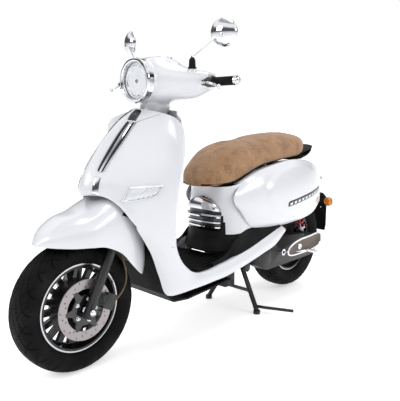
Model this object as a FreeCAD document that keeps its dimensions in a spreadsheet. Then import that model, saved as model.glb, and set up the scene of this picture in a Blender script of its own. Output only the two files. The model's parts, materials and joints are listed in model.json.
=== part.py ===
import FreeCAD, Part
import math
import os
import Sketcher
from FreeCAD import Placement, Rotation, Vector

# Moped scooter with a step-through frame, telescopic fork and a swinging engine unit.
# Millimetres. +X is the scooter's left side, it faces -Y, and the floor is Z = 0.
# Places along the scooter are written as distances behind the front axle, and along() turns
# them into the row's Y, so that a longer wheelbase stretches only the floor.

os.makedirs("parts", exist_ok=True)
doc = FreeCAD.newDocument("scooter")

# ---------------------------------------------------------------- driving dimensions
SIZES = {
    "wheelbase": 1315.0,
    "front_overhang": 920.0,        # origin to the front tyre's leading edge
    "front_tyre_radius": 236.4,     # 120/70-12
    "front_tyre_width": 120.0,
    "rear_tyre_radius": 243.4,      # 130/70-12
    "rear_tyre_width": 130.0,
    "rear_wheel_lift": 15.0,        # the centre stand holds the rear wheel off the floor
    "rim_seat_radius": 152.4,       # 12 inch bead seat
    "rim_lip_radius": 164.4,
    "rim_half_width": 42.0,
    "hub_radius": 38.0,
    "front_hub_half": 65.0,
    "rear_hub_half": 62.0,
    "front_axle_radius": 6.0,
    "rear_axle_radius": 8.0,
    "running_clearance": 0.05,
    "disc_radius": 110.0,
    "disc_inner_radius": 74.0,
    "disc_thickness": 4.0,
    "disc_station": 69.0,
    "rake_degrees": 27.0,
    "fork_offset": 30.0,
    "fork_spacing": 184.0,          # between the two fork legs' axes
    "slider_radius": 17.5,
    "stanchion_radius": 15.0,
    "fork_travel": 70.0,
    "column_radius": 14.0,
    "head_tube_wall": 8.0,
    "bar_radius": 11.0,
    "grip_radius": 17.0,
    "bar_half_width": 340.0,
    "lever_pin_radius": 3.0,
    "button_radius": 4.0,
    "headlight_radius": 82.0,
    "panel_wall": 3.0,
    "spine_radius": 19.0,
    "rail_tube_radius": 12.0,
    "engine_pin_radius": 8.0,
    "stand_pin_radius": 8.0,
    "stand_tube_radius": 12.0,
    "stand_leg_radius": 11.0,
    "kick_pin_radius": 7.0,
    "seat_pin_radius": 4.0,
    "shock_pin_radius": 6.0,
    "shock_pin_clearance": 1.5,     # the opened pivot of the rear suspension's loop
    "shock_rod_radius": 6.0,
    "mirror_radius": 52.0,
    "mirror_ball_radius": 7.0,
    "stem_radius": 5.0,
}
sheet = doc.addObject("Spreadsheet::Sheet", "Sizes")
for row, (name, value) in enumerate(SIZES.items(), 1):
    sheet.set(f"A{row}", name)
    sheet.set(f"B{row}", str(value))
    sheet.setAlias(f"B{row}", name)
doc.recompute()


class Size:
    """A value that also carries the spreadsheet expression it comes from."""

    def __init__(self, value, text):
        self.value = value
        self.text = text

    def __float__(self):
        return self.value

    def join(self, other, sign, swapped=False):
        first, second = (other, self) if swapped else (self, other)
        a, b = float(first), float(second)
        value = {"+": a + b, "-": a - b, "*": a * b, "/": a / b if b else 0.0}[sign]
        return Size(value, f"({words(first)} {sign} {words(second)})")

    def __add__(self, other):
        return self.join(other, "+")

    def __radd__(self, other):
        return self.join(other, "+", True)

    def __sub__(self, other):
        return self.join(other, "-")

    def __rsub__(self, other):
        return self.join(other, "-", True)

    def __mul__(self, other):
        return self.join(other, "*")

    def __rmul__(self, other):
        return self.join(other, "*", True)

    def __truediv__(self, other):
        return self.join(other, "/")

    def __neg__(self):
        return Size(-self.value, f"(-1 * {self.text})")


def words(value):
    return value.text if isinstance(value, Size) else repr(float(value))


def size(name):
    return Size(float(getattr(sheet, name)), "Sizes." + name)


wheelbase = size("wheelbase")
clearance = size("running_clearance")
wall = size("panel_wall")
NOMINAL_WHEELBASE = 1315.0
front_axle_y = size("front_tyre_radius") - size("front_overhang")
front_axle_z = size("front_tyre_radius")
rear_axle_z = size("rear_tyre_radius") + size("rear_wheel_lift")
FLOOR_FRONT, FLOOR_REAR = 450.0, 650.0      # the stretch that a longer wheelbase lengthens


def along(y):
    """Row Y of a place that lies y behind the front axle on the standard wheelbase."""
    if isinstance(y, Size):
        return front_axle_y + y
    share = min(max((y - FLOOR_FRONT) / (FLOOR_REAR - FLOOR_FRONT), 0.0), 1.0)
    return front_axle_y + y + share * (wheelbase - NOMINAL_WHEELBASE)


def place(x, y, z):
    """A point given by its distance behind the front axle."""
    return Vector(float(x), float(along(y)), float(z))


# ---------------------------------------------------------------- ways of making a piece
bodies = {}


def keep(name, thing):
    thing.Label = name
    bodies[name] = thing
    return thing


def feature(name, shape):
    """A piece whose shape comes from Part's own functions."""
    thing = doc.addObject("Part::Feature", name)
    thing.Shape = shape
    return keep(name, thing)


def origin_plane(body, role):
    return next(item for item in body.Origin.OriginFeatures if item.Role == role)


def sketch_on(body, role, name):
    sketch = body.newObject("Sketcher::SketchObject", name)
    sketch.AttachmentSupport = [(origin_plane(body, role), "")]
    sketch.MapMode = "FlatFace"
    return sketch


def outline(sketch, points):
    """A closed outline of straight runs, each corner dimensioned from the sketch's origin."""
    first = sketch.GeometryCount
    count = len(points)
    corners = [Vector(float(x), float(y), 0) for x, y in points]
    for i in range(count):
        sketch.addGeometry(Part.LineSegment(corners[i], corners[(i + 1) % count]), False)
    for i in range(count):
        sketch.addConstraint(Sketcher.Constraint("Coincident", first + i, 2, first + (i + 1) % count, 1))
    for i, corner in enumerate(points):
        for kind, axis, value in (("DistanceX", -2, corner[0]), ("DistanceY", -1, corner[1])):
            if abs(float(value)) < 1e-9:
                sketch.addConstraint(Sketcher.Constraint("PointOnObject", first + i, 1, axis))
                continue
            index = sketch.addConstraint(Sketcher.Constraint(kind, -1, 1, first + i, 1, float(value)))
            if isinstance(value, Size):
                sketch.setExpression(f"Constraints[{index}]", value.text)


def circle(sketch, x, y, radius):
    ring = Part.Circle(Vector(float(x), float(y), 0), Vector(0, 0, 1), float(radius))
    index = sketch.addGeometry(ring, False)
    for kind, axis, value in (("DistanceX", -2, x), ("DistanceY", -1, y)):
        if abs(float(value)) < 1e-9:
            sketch.addConstraint(Sketcher.Constraint("PointOnObject", index, 3, axis))
            continue
        constraint = sketch.addConstraint(Sketcher.Constraint(kind, -1, 1, index, 3, float(value)))
        if isinstance(value, Size):
            sketch.setExpression(f"Constraints[{constraint}]", value.text)
    constraint = sketch.addConstraint(Sketcher.Constraint("Radius", index, float(radius)))
    if isinstance(radius, Size):
        sketch.setExpression(f"Constraints[{constraint}]", radius.text)


def move(thing, x, y, z):
    """Bind a piece's place to the sheet."""
    for letter, value in (("x", x), ("y", y), ("z", z)):
        setattr(thing.Placement.Base, letter, float(value))
        if isinstance(value, Size):
            thing.setExpression(f"Placement.Base.{letter}", value.text)
    thing.Placement = Placement(Vector(float(x), float(y), float(z)), thing.Placement.Rotation)


def turned(name, profile):
    """A body turned about its own X axis; the profile's points are (x, radius)."""
    body = doc.addObject("PartDesign::Body", name)
    sketch = sketch_on(body, "XY_Plane", name + "_profile")
    outline(sketch, profile)
    turn = body.newObject("PartDesign::Revolution", name + "_turn")
    turn.Profile = sketch
    turn.ReferenceAxis = (sketch, ["H_Axis"])
    turn.Angle = 360
    return keep(name, body)


def side_pad(name, points, width, middle=0.0):
    """A body padded across the scooter from a side-view outline, about X = middle."""
    body = doc.addObject("PartDesign::Body", name)
    sketch = sketch_on(body, "YZ_Plane", name + "_outline")
    outline(sketch, points)
    pad = body.newObject("PartDesign::Pad", name + "_pad")
    pad.Profile = sketch
    pad.Length = float(width)
    if isinstance(width, Size):
        pad.setExpression("Length", width.text)
    pad.SideType = "Symmetric"
    move(body, middle, 0, 0)
    return keep(name, body)


def round_about(body, name, base_feature, count):
    """Repeat a cut around the body's own X axis."""
    pattern = body.newObject("PartDesign::PolarPattern", name)
    pattern.Originals = [base_feature]
    pattern.Axis = (origin_plane(body, "X_Axis"), [""])
    pattern.Angle = 360
    pattern.Occurrences = count
    body.Tip = pattern
    return pattern


def side_cut(body, name, draw):
    """Cut through a body along X with the outline that draw() puts in the sketch."""
    doc.recompute()
    before = body.Shape.Volume
    sketch = sketch_on(body, "YZ_Plane", name + "_outline")
    draw(sketch)
    pocket = body.newObject("PartDesign::Pocket", name)
    pocket.Profile = sketch
    pocket.Type = "ThroughAll"
    pocket.SideType = "Symmetric"
    doc.recompute()
    if body.Shape.Volume > before - 1e-3:
        raise RuntimeError(f"{name} removes nothing")
    return pocket


def rod(start, end, radius):
    """A round bar between two points."""
    run = end - start
    return Part.makeCylinder(float(radius), run.Length, start, run)


def bound_rod(name, start, direction, radius, length):
    """A Part::Cylinder bound to the sheet, from start along direction."""
    thing = doc.addObject("Part::Cylinder", name)
    for field, value in (("Radius", radius), ("Height", length)):
        setattr(thing, field, float(value))
        if isinstance(value, Size):
            thing.setExpression(field, value.text)
    thing.Placement = Placement(start, Rotation(Vector(0, 0, 1), direction))
    return thing


def route(points, radius, bend):
    """A tube along straight runs joined by tangent arcs, each arc as large as bend allows."""
    edges = []
    start = points[0]
    for before, corner, after in zip(points, points[1:], points[2:]):
        into = (corner - before).normalize()
        out = (after - corner).normalize()
        half = into.getAngle(out) / 2
        shorter = min((corner - before).Length, (after - corner).Length)
        back = min(float(bend) * math.tan(half), 0.45 * shorter)
        arc_radius = back / math.tan(half)
        first, last = corner - into * back, corner + out * back
        inward = (out - into).normalize()
        middle = corner + inward * (arc_radius / math.cos(half) - arc_radius)
        edges.append(Part.LineSegment(start, first).toShape())
        edges.append(Part.Arc(first, middle, last).toShape())
        start = last
    edges.append(Part.LineSegment(start, points[-1]).toShape())
    path = Part.Wire(edges)
    ring = Part.Wire(Part.Circle(points[0], points[1] - points[0], float(radius)).toShape())
    return path.makePipeShell([ring], True, False)


def skin(rows, thickness, side=1):
    """A thick panel through rows of points; side says which way the thickness goes."""
    wide, tall = len(rows[0]), len(rows)

    def normal(i, j):
        across = rows[i][min(j + 1, wide - 1)] - rows[i][max(j - 1, 0)]
        down = rows[min(i + 1, tall - 1)][j] - rows[max(i - 1, 0)][j]
        return across.cross(down).normalize() * side

    inner = [[rows[i][j] + normal(i, j) * float(thickness) for j in range(wide)] for i in range(tall)]
    faces, borders = [], []
    for grid in (rows, inner):
        surface = Part.BSplineSurface()
        surface.interpolate(grid)
        u0, u1, v0, v1 = surface.bounds()
        faces.append(surface.toShape())
        borders.append([surface.uIso(u0), surface.uIso(u1), surface.vIso(v0), surface.vIso(v1)])
    for outer_edge, inner_edge in zip(*borders):
        faces.append(Part.makeRuledSurface(outer_edge.toShape(), inner_edge.toShape()))
    shell = Part.makeShell(faces)
    shell.sewShape()
    solid = Part.Solid(shell)
    if solid.Volume < 0:
        solid.reverse()
    return solid


def both_sides(row):
    """A row from the middle line outwards, made symmetric."""
    return [place(-x, y, z) for x, y, z in reversed(row[1:])] + [place(x, y, z) for x, y, z in row]


def mirrored(shape):
    return shape.mirror(Vector(0, 0, 0), Vector(1, 0, 0))


def oval(x, y, z, across, up, plane, power=2.4, count=24):
    """A closed rounded section centred on a point, in the plane "XZ" or "YZ"."""
    points = []
    for i in range(count):
        angle = 2 * math.pi * i / count
        c, s = math.cos(angle), math.sin(angle)
        a = math.copysign(abs(c) ** (2 / power), c) * across
        b = math.copysign(abs(s) ** (2 / power), s) * up
        points.append(place(x + a, y, z + b) if plane == "XZ" else place(x, y, z + b) + Vector(0, a, 0))
    curve = Part.BSplineCurve()
    curve.interpolate(points, PeriodicFlag=True)
    return Part.Wire(curve.toShape())


def loft(sections):
    return Part.makeLoft(sections, True, False)


# ---------------------------------------------------------------- steering geometry
rake = math.radians(float(size("rake_degrees")))
up_axis = Vector(0, math.sin(rake), math.cos(rake))         # up along the steering axis
ahead = Vector(0, -math.cos(rake), math.sin(rake))          # square to it, towards the front
front_axle = Vector(0, float(front_axle_y), float(front_axle_z))
steer_foot = front_axle - ahead * float(size("fork_offset"))
leg_x = size("fork_spacing") / 2
YOKE_LOW, YOKE_HIGH = 340.0, 362.0          # heights up the steering axis from the axle
HEAD_LOW, HEAD_HIGH = 368.0, 640.0
COLUMN_TOP = 836.0
head_radius = size("column_radius") + size("head_tube_wall")


def steer(up, x=0.0, forward=0.0):
    return steer_foot + up_axis * up + ahead * forward + Vector(x, 0, 0)


def leg(up, x):
    return front_axle + up_axis * up + Vector(x, 0, 0)


# ---------------------------------------------------------------- front wheel
def tyre_profile(radius, width):
    """Half sections of a tyre with a flat-ish tread, 10 mm walls and beads on the rim."""
    seat = size("rim_seat_radius")
    half = width / 2
    bead = size("rim_half_width") - 6.5
    lip = size("rim_lip_radius")
    outer = [(bead, seat + 0.5), (bead, lip + 1), (bead + 10, lip + 5), (half * 0.95, seat + 30), (half, radius - 42),
             (half * 0.92, radius - 22), (half * 0.68, radius - 8), (half * 0.34, radius - 1.5), (0, radius)]
    inner = [(0, radius - 12), (half * 0.6, radius - 18), (half * 0.8, radius - 34), (half * 0.82, radius - 46),
             (bead - 2, lip + 10), (bead - 10, seat + 0.5)]
    left = [(0 - x, y) for x, y in reversed(outer[:-1])]
    left_inner = [(0 - x, y) for x, y in reversed(inner[1:])]
    return outer + left + left_inner + inner


def rim_profile(hub_half, axle_radius):
    """Hub, web and rim barrel with a rolled lip each side; its bore is the given radius."""
    seat, lip, half = size("rim_seat_radius"), size("rim_lip_radius"), size("rim_half_width")
    hub = size("hub_radius")
    web = 9.0
    barrel = 7.0
    right = [(hub_half, axle_radius), (hub_half, hub - 8), (hub_half - 12, hub), (web, hub + 6),
             (web, seat - barrel - 6), (half - 10, seat - barrel), (half, seat - barrel + 2), (half, lip),
             (half - 4, lip), (half - 6, seat)]
    return right + [(0 - x, y) for x, y in reversed(right)]


SPOKES = 18


def spoke_window(hub_gap, outer_radius):
    """One window of the wheel's web, centred above the axle."""
    def draw(sketch):
        low, high = hub_gap, outer_radius
        narrow, broad = 6.5, 13.5
        outline(sketch, [(-narrow, low), (narrow, low), (broad, high), (-broad, high)])
    return draw


front_tyre = turned("front_tyre", tyre_profile(size("front_tyre_radius"), size("front_tyre_width")))
move(front_tyre, 0, front_axle_y, front_axle_z)

front_bore = size("front_axle_radius") + clearance
front_rim = turned("front_rim", rim_profile(size("front_hub_half"), front_bore))
window = side_cut(front_rim, "front_window", spoke_window(100.0, size("rim_seat_radius") - 17))
round_about(front_rim, "front_windows", window, SPOKES)
move(front_rim, 0, front_axle_y, front_axle_z)

disc_half = size("disc_thickness") / 2
disc_middle = size("disc_station")
carrier_radius = 30.0
front_brake_disc = turned("front_brake_disc", [
    (disc_middle - disc_half, carrier_radius), (disc_middle + disc_half, carrier_radius),
    (disc_middle + disc_half, size("disc_radius")), (disc_middle - disc_half, size("disc_radius"))])
DISC_HOLES = 12
hole_middle = (size("disc_radius") + size("disc_inner_radius")) / 2
drilling = side_cut(front_brake_disc, "disc_hole", lambda sketch: (
    circle(sketch, 0, hole_middle - 9, 3.5), circle(sketch, 12, hole_middle, 3.5),
    circle(sketch, 24, hole_middle + 6, 3.5)))
round_about(front_brake_disc, "disc_holes", drilling, DISC_HOLES)
move(front_brake_disc, 0, front_axle_y, front_axle_z)

# ---------------------------------------------------------------- fork legs, axle and caliper
slider_low, slider_high = -26.0, 250.0
stanchion_low = slider_low + 40 + float(size("fork_travel")) + 10
sliders = []
for side in (-1, 1):
    x = side * float(leg_x)
    outer = rod(leg(slider_low, x), leg(slider_high, x), size("slider_radius"))
    bore = rod(leg(slider_low + 40, x), leg(slider_high + 1, x), size("stanchion_radius") + clearance)
    axle_hole = rod(front_axle + Vector(x - 30, 0, 0), front_axle + Vector(x + 30, 0, 0), size("front_axle_radius"))
    sliders.append(outer.cut(bore).cut(axle_hole))
feature("fork_sliders", Part.makeCompound(sliders))

axle_end = leg_x + size("slider_radius") + 1
spacer_radius = 12.0
nut_radius = 11.0
turned("front_axle", [
    (-axle_end - 8, 0), (-axle_end - 8, nut_radius), (-axle_end, nut_radius), (-axle_end, size("front_axle_radius")),
    (0 - leg_x + size("slider_radius") + 0.5, size("front_axle_radius")),
    (0 - leg_x + size("slider_radius") + 0.5, spacer_radius),
    (0 - size("front_hub_half") - 0.3, spacer_radius), (0 - size("front_hub_half") - 0.3, size("front_axle_radius")),
    (size("front_hub_half") + 0.3, size("front_axle_radius")), (size("front_hub_half") + 0.3, spacer_radius),
    (leg_x - size("slider_radius") - 0.5, spacer_radius), (leg_x - size("slider_radius") - 0.5, size("front_axle_radius")),
    (axle_end, size("front_axle_radius")), (axle_end, nut_radius), (axle_end + 8, nut_radius), (axle_end + 8, 0)])
move(bodies["front_axle"], 0, front_axle_y, front_axle_z)


def leg_frame(x, up, back):
    """Placement whose X is across, Y square to the leg towards the rear, Z up the leg."""
    turn = Rotation(Vector(1, 0, 0), -math.degrees(rake))
    return Placement(leg(up, x) - ahead * back, turn)


caliper = Part.makeBox(34, 44, 58, Vector(-17, -22, -29))
caliper.Placement = leg_frame(float(disc_middle) - 1, 52, 82)
bracket = Part.makeBox(8, 50, 44, Vector(-4, -25, -22))
bracket.Placement = leg_frame(float(leg_x) - 9, 52, 38)
slot = rod(Vector(float(disc_middle - disc_half) - 1.5, 0, 0), Vector(float(disc_middle + disc_half) + 1.5, 0, 0),
           size("disc_radius") + 2)
slot.translate(front_axle)
leg_seat = rod(leg(-20, float(leg_x)), leg(150, float(leg_x)), size("slider_radius"))
caliper_bolts = [rod(leg(up, float(leg_x) - 14) - ahead * 48, leg(up, float(leg_x) + 4) - ahead * 48, 6)
                 for up in (36, 68)]
feature("brake_caliper", caliper.fuse([bracket] + caliper_bolts).cut(slot).cut(leg_seat).removeSplitter())

# ---------------------------------------------------------------- steering stem, bar and headset
stem = rod(steer(YOKE_LOW), steer(COLUMN_TOP), size("column_radius"))
for side in (-1, 1):
    stem = stem.fuse(rod(leg(stanchion_low, side * float(leg_x)), leg(YOKE_HIGH, side * float(leg_x)),
                         size("stanchion_radius")))
yoke_half = float(leg_x) + 15
yoke = Part.makeBox(2 * yoke_half, 76, YOKE_HIGH - YOKE_LOW, Vector(-yoke_half, -20, 0))
yoke.Placement = Placement(leg(YOKE_LOW, 0), Rotation(Vector(1, 0, 0), -math.degrees(rake)))
feature("steering_stem", stem.fuse(yoke).removeSplitter())

BAR_RISE = 1030.0
bar_knee_x, bar_knee_y = 120.0, 452.0
bar_tip = place(size("bar_half_width"), 497, BAR_RISE + 7)
bar_knee = place(bar_knee_x, bar_knee_y, BAR_RISE)
bar_run = (bar_tip - bar_knee).normalize()
bar_middle = steer(COLUMN_TOP + 16)


def on_bar(x, side=1):
    """The bar's centre at a distance x from the middle, left for side = 1."""
    point = bar_knee + bar_run * ((x - bar_knee_x) / bar_run.x)
    return Vector(side * point.x, point.y, point.z)


def bar_way(side=1):
    return Vector(side * bar_run.x, bar_run.y, bar_run.z)


def flipped(point):
    return Vector(-point.x, point.y, point.z)


tube = route([flipped(bar_tip), flipped(bar_knee), bar_middle + Vector(-30, 0, 0), bar_middle + Vector(30, 0, 0),
              bar_knee, bar_tip], size("bar_radius"), 60)
clamp = Part.makeBox(52, 40, 50, Vector(-26, -20, -24))
clamp.Placement = Placement(bar_middle, Rotation(Vector(1, 0, 0), -math.degrees(rake)))
column = rod(steer(YOKE_LOW), steer(COLUMN_TOP), size("column_radius"))
feature("handlebar", tube.fuse(clamp).cut(column).removeSplitter())

HEADSET = [  # half of the housing: x, middle y, middle z, half depth, half height
    (0, 402, 1043, 98, 88), (55, 406, 1041, 92, 86), (95, 422, 1033, 74, 68),
    (150, 456, 1028, 50, 53), (196, 482, 1036, 38, 36), (214, 489, 1037, 33, 31)]


def headset_loft(shrink, reach):
    sections = []
    for x, y, z, deep, tall in reversed(HEADSET[1:]):
        extra = reach if x == HEADSET[-1][0] else 0
        sections.append(oval(-x - extra, y, z, deep - shrink, tall - shrink, "YZ"))
    for x, y, z, deep, tall in HEADSET:
        extra = reach if x == HEADSET[-1][0] else 0
        sections.append(oval(x + extra, y, z, deep - shrink, tall - shrink, "YZ"))
    return loft(sections)


lamp = place(0, 298, 1038)
lamp_bore = size("headlight_radius") - 6
barrel = rod(lamp + Vector(0, 6, 0), lamp + Vector(0, 90, 0), size("headlight_radius") - 1)
neck_radius = 46.0
neck = rod(steer(735), steer(800), neck_radius)
mirror_bosses = [rod(place(side * 160, 440, 1050), place(side * 160, 440, 1084), 13) for side in (-1, 1)]
shell = headset_loft(0, 0).fuse([barrel, neck] + mirror_bosses)
hollow = headset_loft(float(wall), 2).fuse([
    rod(lamp - Vector(0, 40, 0), lamp + Vector(0, 92, 0), lamp_bore),
    rod(steer(734), steer(832), neck_radius - float(wall))])
headset = shell.cut(hollow).cut(bodies["handlebar"].Shape).cut(bodies["steering_stem"].Shape)
feature("headset_cover", max(headset.Solids, key=lambda solid: solid.Volume))

turned("headlight_bezel", [
    (-4, lamp_bore - 8), (2, lamp_bore - 8), (2, size("headlight_radius")), (-3, size("headlight_radius")),
    (-9, size("headlight_radius") - 5), (-9, lamp_bore - 5)])
turned("headlight_lens", [
    (0, 0), (0, lamp_bore - 9), (-3, lamp_bore - 9), (-9, lamp_bore - 30), (-13, 22), (-14, 0)])
turned("headlight_reflector", [
    (2.5, lamp_bore - 3), (5, lamp_bore - 1), (30, lamp_bore - 14), (52, 34), (58, 0), (56, 0), (50, 32),
    (28, lamp_bore - 17)])
for name in ("headlight_bezel", "headlight_lens", "headlight_reflector"):
    bodies[name].Placement = Placement(lamp, Rotation(Vector(0, 0, 1), 90))

dial = rod(place(0, 432, 1122), place(0, 438, 1144), 40)
dial_seat = headset_loft(0, 0)
feature("instrument_cluster", dial.cut(dial_seat).removeSplitter())

HOUSING_IN, HOUSING_OUT = 190.0, 236.0
GRIP_IN = 238.0
lever_pivot_x = 224.0
lever_reach = 33.0                      # from the bar's centre forward to the lever's pin
housing_radius = 19.0
rearward = Vector(0, 1, 0)
pivot_left = on_bar(lever_pivot_x) - rearward * lever_reach - Vector(0, 0, 4)
button_x = 222.0


def housing(side):
    body = rod(on_bar(HOUSING_IN, side), on_bar(HOUSING_OUT, side), housing_radius)
    pivot = pivot_left if side > 0 else flipped(pivot_left)
    lug_corner = -8 if side > 0 else -10
    lug_top = Part.makeBox(18, 30, 5, pivot + Vector(lug_corner, -9, 5))
    lug_low = Part.makeBox(18, 30, 5, pivot + Vector(lug_corner, -9, -10))
    pin = rod(pivot - Vector(0, 0, 9), pivot + Vector(0, 0, 9), size("lever_pin_radius"))
    body = body.fuse([lug_top, lug_low, pin])
    bar = rod(on_bar(150, side), on_bar(300, side), size("bar_radius"))
    button = rod(on_bar(button_x, side), on_bar(button_x, side) + rearward * 30, size("button_radius") + clearance)
    body = body.cut(bar).cut(button)
    if side > 0:
        middle = on_bar(button_x, side) + Vector(0, 10, 17)
        slot_box = Part.makeBox(14, 5.2, 10, middle - Vector(7, 2.6, 5))
        body = body.cut(slot_box)
    return max(body.cut(bodies["headset_cover"].Shape).Solids, key=lambda solid: solid.Volume)


feature("switch_housings", Part.makeCompound([housing(1), housing(-1)]))
button_rest = housing_radius + 3.0
button_root = 13.5
for name, side in (("horn_button", 1), ("starter_button", -1)):
    start = on_bar(button_x, side) + rearward * button_root
    keep(name, bound_rod(name, start, rearward, size("button_radius"), button_rest - button_root))
knob_middle = on_bar(button_x) + Vector(0, 10, 18.5)
feature("turn_switch", Part.makeBox(6, 5, 9, knob_middle - Vector(3, 2.5, 3.5)))


def grip(name, side, bore):
    inner, outer = on_bar(GRIP_IN, side), on_bar(float(size("bar_half_width")) - 8, side)
    shape = rod(inner, outer, size("grip_radius"))
    collar = rod(inner, inner + bar_way(side) * 6, size("grip_radius") + 4)
    hole = rod(on_bar(GRIP_IN - 5, side), on_bar(float(size("bar_half_width")) + 5, side), bore)
    feature(name, shape.fuse(collar).cut(hole).removeSplitter())


grip("left_grip", 1, size("bar_radius"))
grip("throttle_grip", -1, size("bar_radius") + clearance)


def brake_lever(name, side):
    """A blade that runs forward of the grip to a ball end, with a bored eye on its pin."""
    tip = on_bar(float(size("bar_half_width")) - 31) + Vector(0, -69, -23)
    knee = pivot_left + Vector(26, -14, 0)
    points = [pivot_left, knee, (knee + tip) * 0.5 + Vector(0, 5, 0), tip]
    blade = route(points, 4.6, 40).fuse(Part.makeSphere(8, tip))
    eye = rod(pivot_left - Vector(0, 0, 4.8), pivot_left + Vector(0, 0, 4.8), 8)
    hole = rod(pivot_left - Vector(0, 0, 12), pivot_left + Vector(0, 0, 12), size("lever_pin_radius") + clearance)
    shape = blade.fuse(eye).cut(hole).removeSplitter()
    feature(name, shape if side > 0 else mirrored(shape))


brake_lever("left_brake_lever", 1)
brake_lever("right_brake_lever", -1)

# ---------------------------------------------------------------- mirrors
mirror_centre = place(267, 501, 1210)
boot_foot = place(160, 440, 1084.3)
stem_elbow = place(226, 466, 1180)
mirror_ball = mirror_centre + Vector(-2, -16, -3)


def mirror_stem():
    stem_top = mirror_ball
    shape = route([boot_foot, boot_foot + Vector(0, 0, 44), stem_elbow, stem_top], size("stem_radius"), 14)
    shape = shape.fuse(Part.makeSphere(float(size("mirror_ball_radius")), mirror_ball))
    boot = Part.makeCone(12.5, 7.5, 36, boot_foot, Vector(0, 0, 1))
    return shape.fuse(boot).removeSplitter()


def mirror_head():
    """A shallow dome open to the rear, with a socket round the stem's ball."""
    radius = float(size("mirror_radius"))
    profile = [Vector(0, -24, 0), Vector(radius * 0.55, -20, 0), Vector(radius * 0.9, -8, 0), Vector(radius, 2, 0),
               Vector(radius, 6, 0), Vector(0, 6, 0)]
    face = Part.Face(Part.makePolygon(profile + [profile[0]]))
    dome = face.revolve(Vector(0, 0, 0), Vector(0, 1, 0), 360)
    dome.translate(mirror_centre)
    way_out = (stem_elbow - mirror_ball).normalize()
    socket = Part.makeSphere(float(size("mirror_ball_radius")) + float(clearance), mirror_ball)
    mouth = Part.makeCone(float(size("stem_radius")) + 0.6, 24, 44, mirror_ball, way_out)
    return dome.cut(socket).cut(mouth)


left_stem = mirror_stem()
feature("left_mirror_stem", left_stem)
feature("right_mirror_stem", mirrored(left_stem))
left_head = mirror_head()
feature("left_mirror_head", left_head)
feature("right_mirror_head", mirrored(left_head))

# ---------------------------------------------------------------- front fender and brake hose
FENDER_LINE = [  # along the crown: y, z of the crown, half width, y and z of the edge
    (-151, 484, 14, -149, 480), (-110, 527, 66, -108, 476), (-50, 562, 98, -52, 470), (20, 580, 116, 8, 466),
    (90, 612, 121, 62, 458), (150, 630, 121, 128, 424), (212, 604, 120, 176, 372), (258, 520, 108, 222, 330),
    (275, 420, 92, 246, 322), (277, 340, 66, 260, 324)]
fender_rows = []
for crown_y, crown_z, half, edge_y, edge_z in FENDER_LINE:
    row = []
    for share in (0, 0.35, 0.62, 0.85, 1.0):
        drop = share ** 2.6
        x = half * math.sin(share * math.pi / 2) ** 0.85
        row.append((x, crown_y + (edge_y - crown_y) * drop, crown_z + (edge_z - crown_z) * drop))
    fender_rows.append(both_sides(row))
fender = skin(fender_rows, wall, -1)
column_hole = rod(steer(YOKE_LOW - 60), steer(YOKE_HIGH + 160), head_radius + 16)
feature("front_fender", fender.cut(column_hole).cut(bodies["steering_stem"].Shape))

hose_points = [place(78, 122, 240), place(80, 150, 262), place(80, 176, 300), place(76, 178, 345),
               place(70, 168, 390), place(64, 172, 434), place(57, 192, 474), place(50, 210, 510), place(44, 222, 545)]
feature("brake_hose", route(hose_points, 3.4, 90))

# ---------------------------------------------------------------- leg shield and floor
SHIELD = [  # half rows from the top edge down to the wheel arch: x, y, z
    [(0, 298, 936), (50, 321, 929), (100, 336, 920), (145, 338, 911), (180, 335, 900), (205, 331, 885), (216, 328, 872)],
    [(0, 224, 890), (50, 252, 885), (100, 292, 876), (145, 316, 866), (182, 327, 852), (208, 331, 836), (222, 331, 820)],
    [(0, 150, 825), (50, 190, 820), (100, 242, 808), (145, 281, 794), (183, 307, 776), (210, 321, 757), (223, 325, 738)],
    [(0, 95, 755), (50, 126, 750), (98, 182, 734), (142, 234, 714), (180, 273, 692), (206, 297, 668), (219, 306, 645)],
    [(0, 58, 695), (50, 82, 689), (93, 132, 668), (136, 188, 640), (174, 238, 608), (203, 276, 580), (217, 293, 556)],
    [(0, 42, 650), (48, 66, 647), (82, 106, 630), (120, 150, 594), (158, 206, 545), (196, 258, 500), (215, 293, 478)],
    [(0, 44, 628), (38, 64, 632), (76, 100, 622), (116, 130, 588), (141, 176, 520), (186, 248, 448), (211, 298, 434)]]
shield = skin([both_sides(row) for row in SHIELD], wall)

RAIL = [  # sections of one side rail from the cheek to the tail: lower edge, crest, upper edge
    [(144, 190, 496), (166.5, 226, 462), (189.5, 260, 430), (209.5, 306, 419)],
    [(147, 210, 455), (169, 240, 432), (192, 274, 410), (209, 314, 402)],
    [(151, 240, 400), (174, 262, 392), (196, 294, 380), (208, 330, 376)],
    [(156, 270, 315), (182, 290, 318), (203, 326, 322), (205, 370, 331)],
    [(176, 296, 240), (203, 330, 256), (210, 380, 282), (203, 428, 302)],
    [(184, 420, 236), (209, 445, 252), (212, 470, 278), (201, 500, 297)],
    [(185, 520, 241), (209.5, 532, 256), (213, 546, 284), (201, 560, 305)],
    [(186, 620, 248), (210, 621, 262), (213, 621, 290), (200, 621, 312)],
    [(186, 770, 276), (210, 766, 290), (213, 760, 316), (200, 752, 337)],
    [(185, 860, 295), (208, 858, 310), (211, 856, 338), (198, 852, 362)],
    [(182, 950, 314), (202, 950, 330), (204, 950, 360), (194, 951, 386)],
    [(178, 1050, 366), (187, 1046, 374), (188, 1036, 386), (183, 1026, 396)]]
left_rail = skin([[place(*point) for point in section] for section in RAIL], wall)
feature("leg_shield", shield)
feature("side_rails", Part.makeCompound([left_rail, mirrored(left_rail)]))

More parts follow.
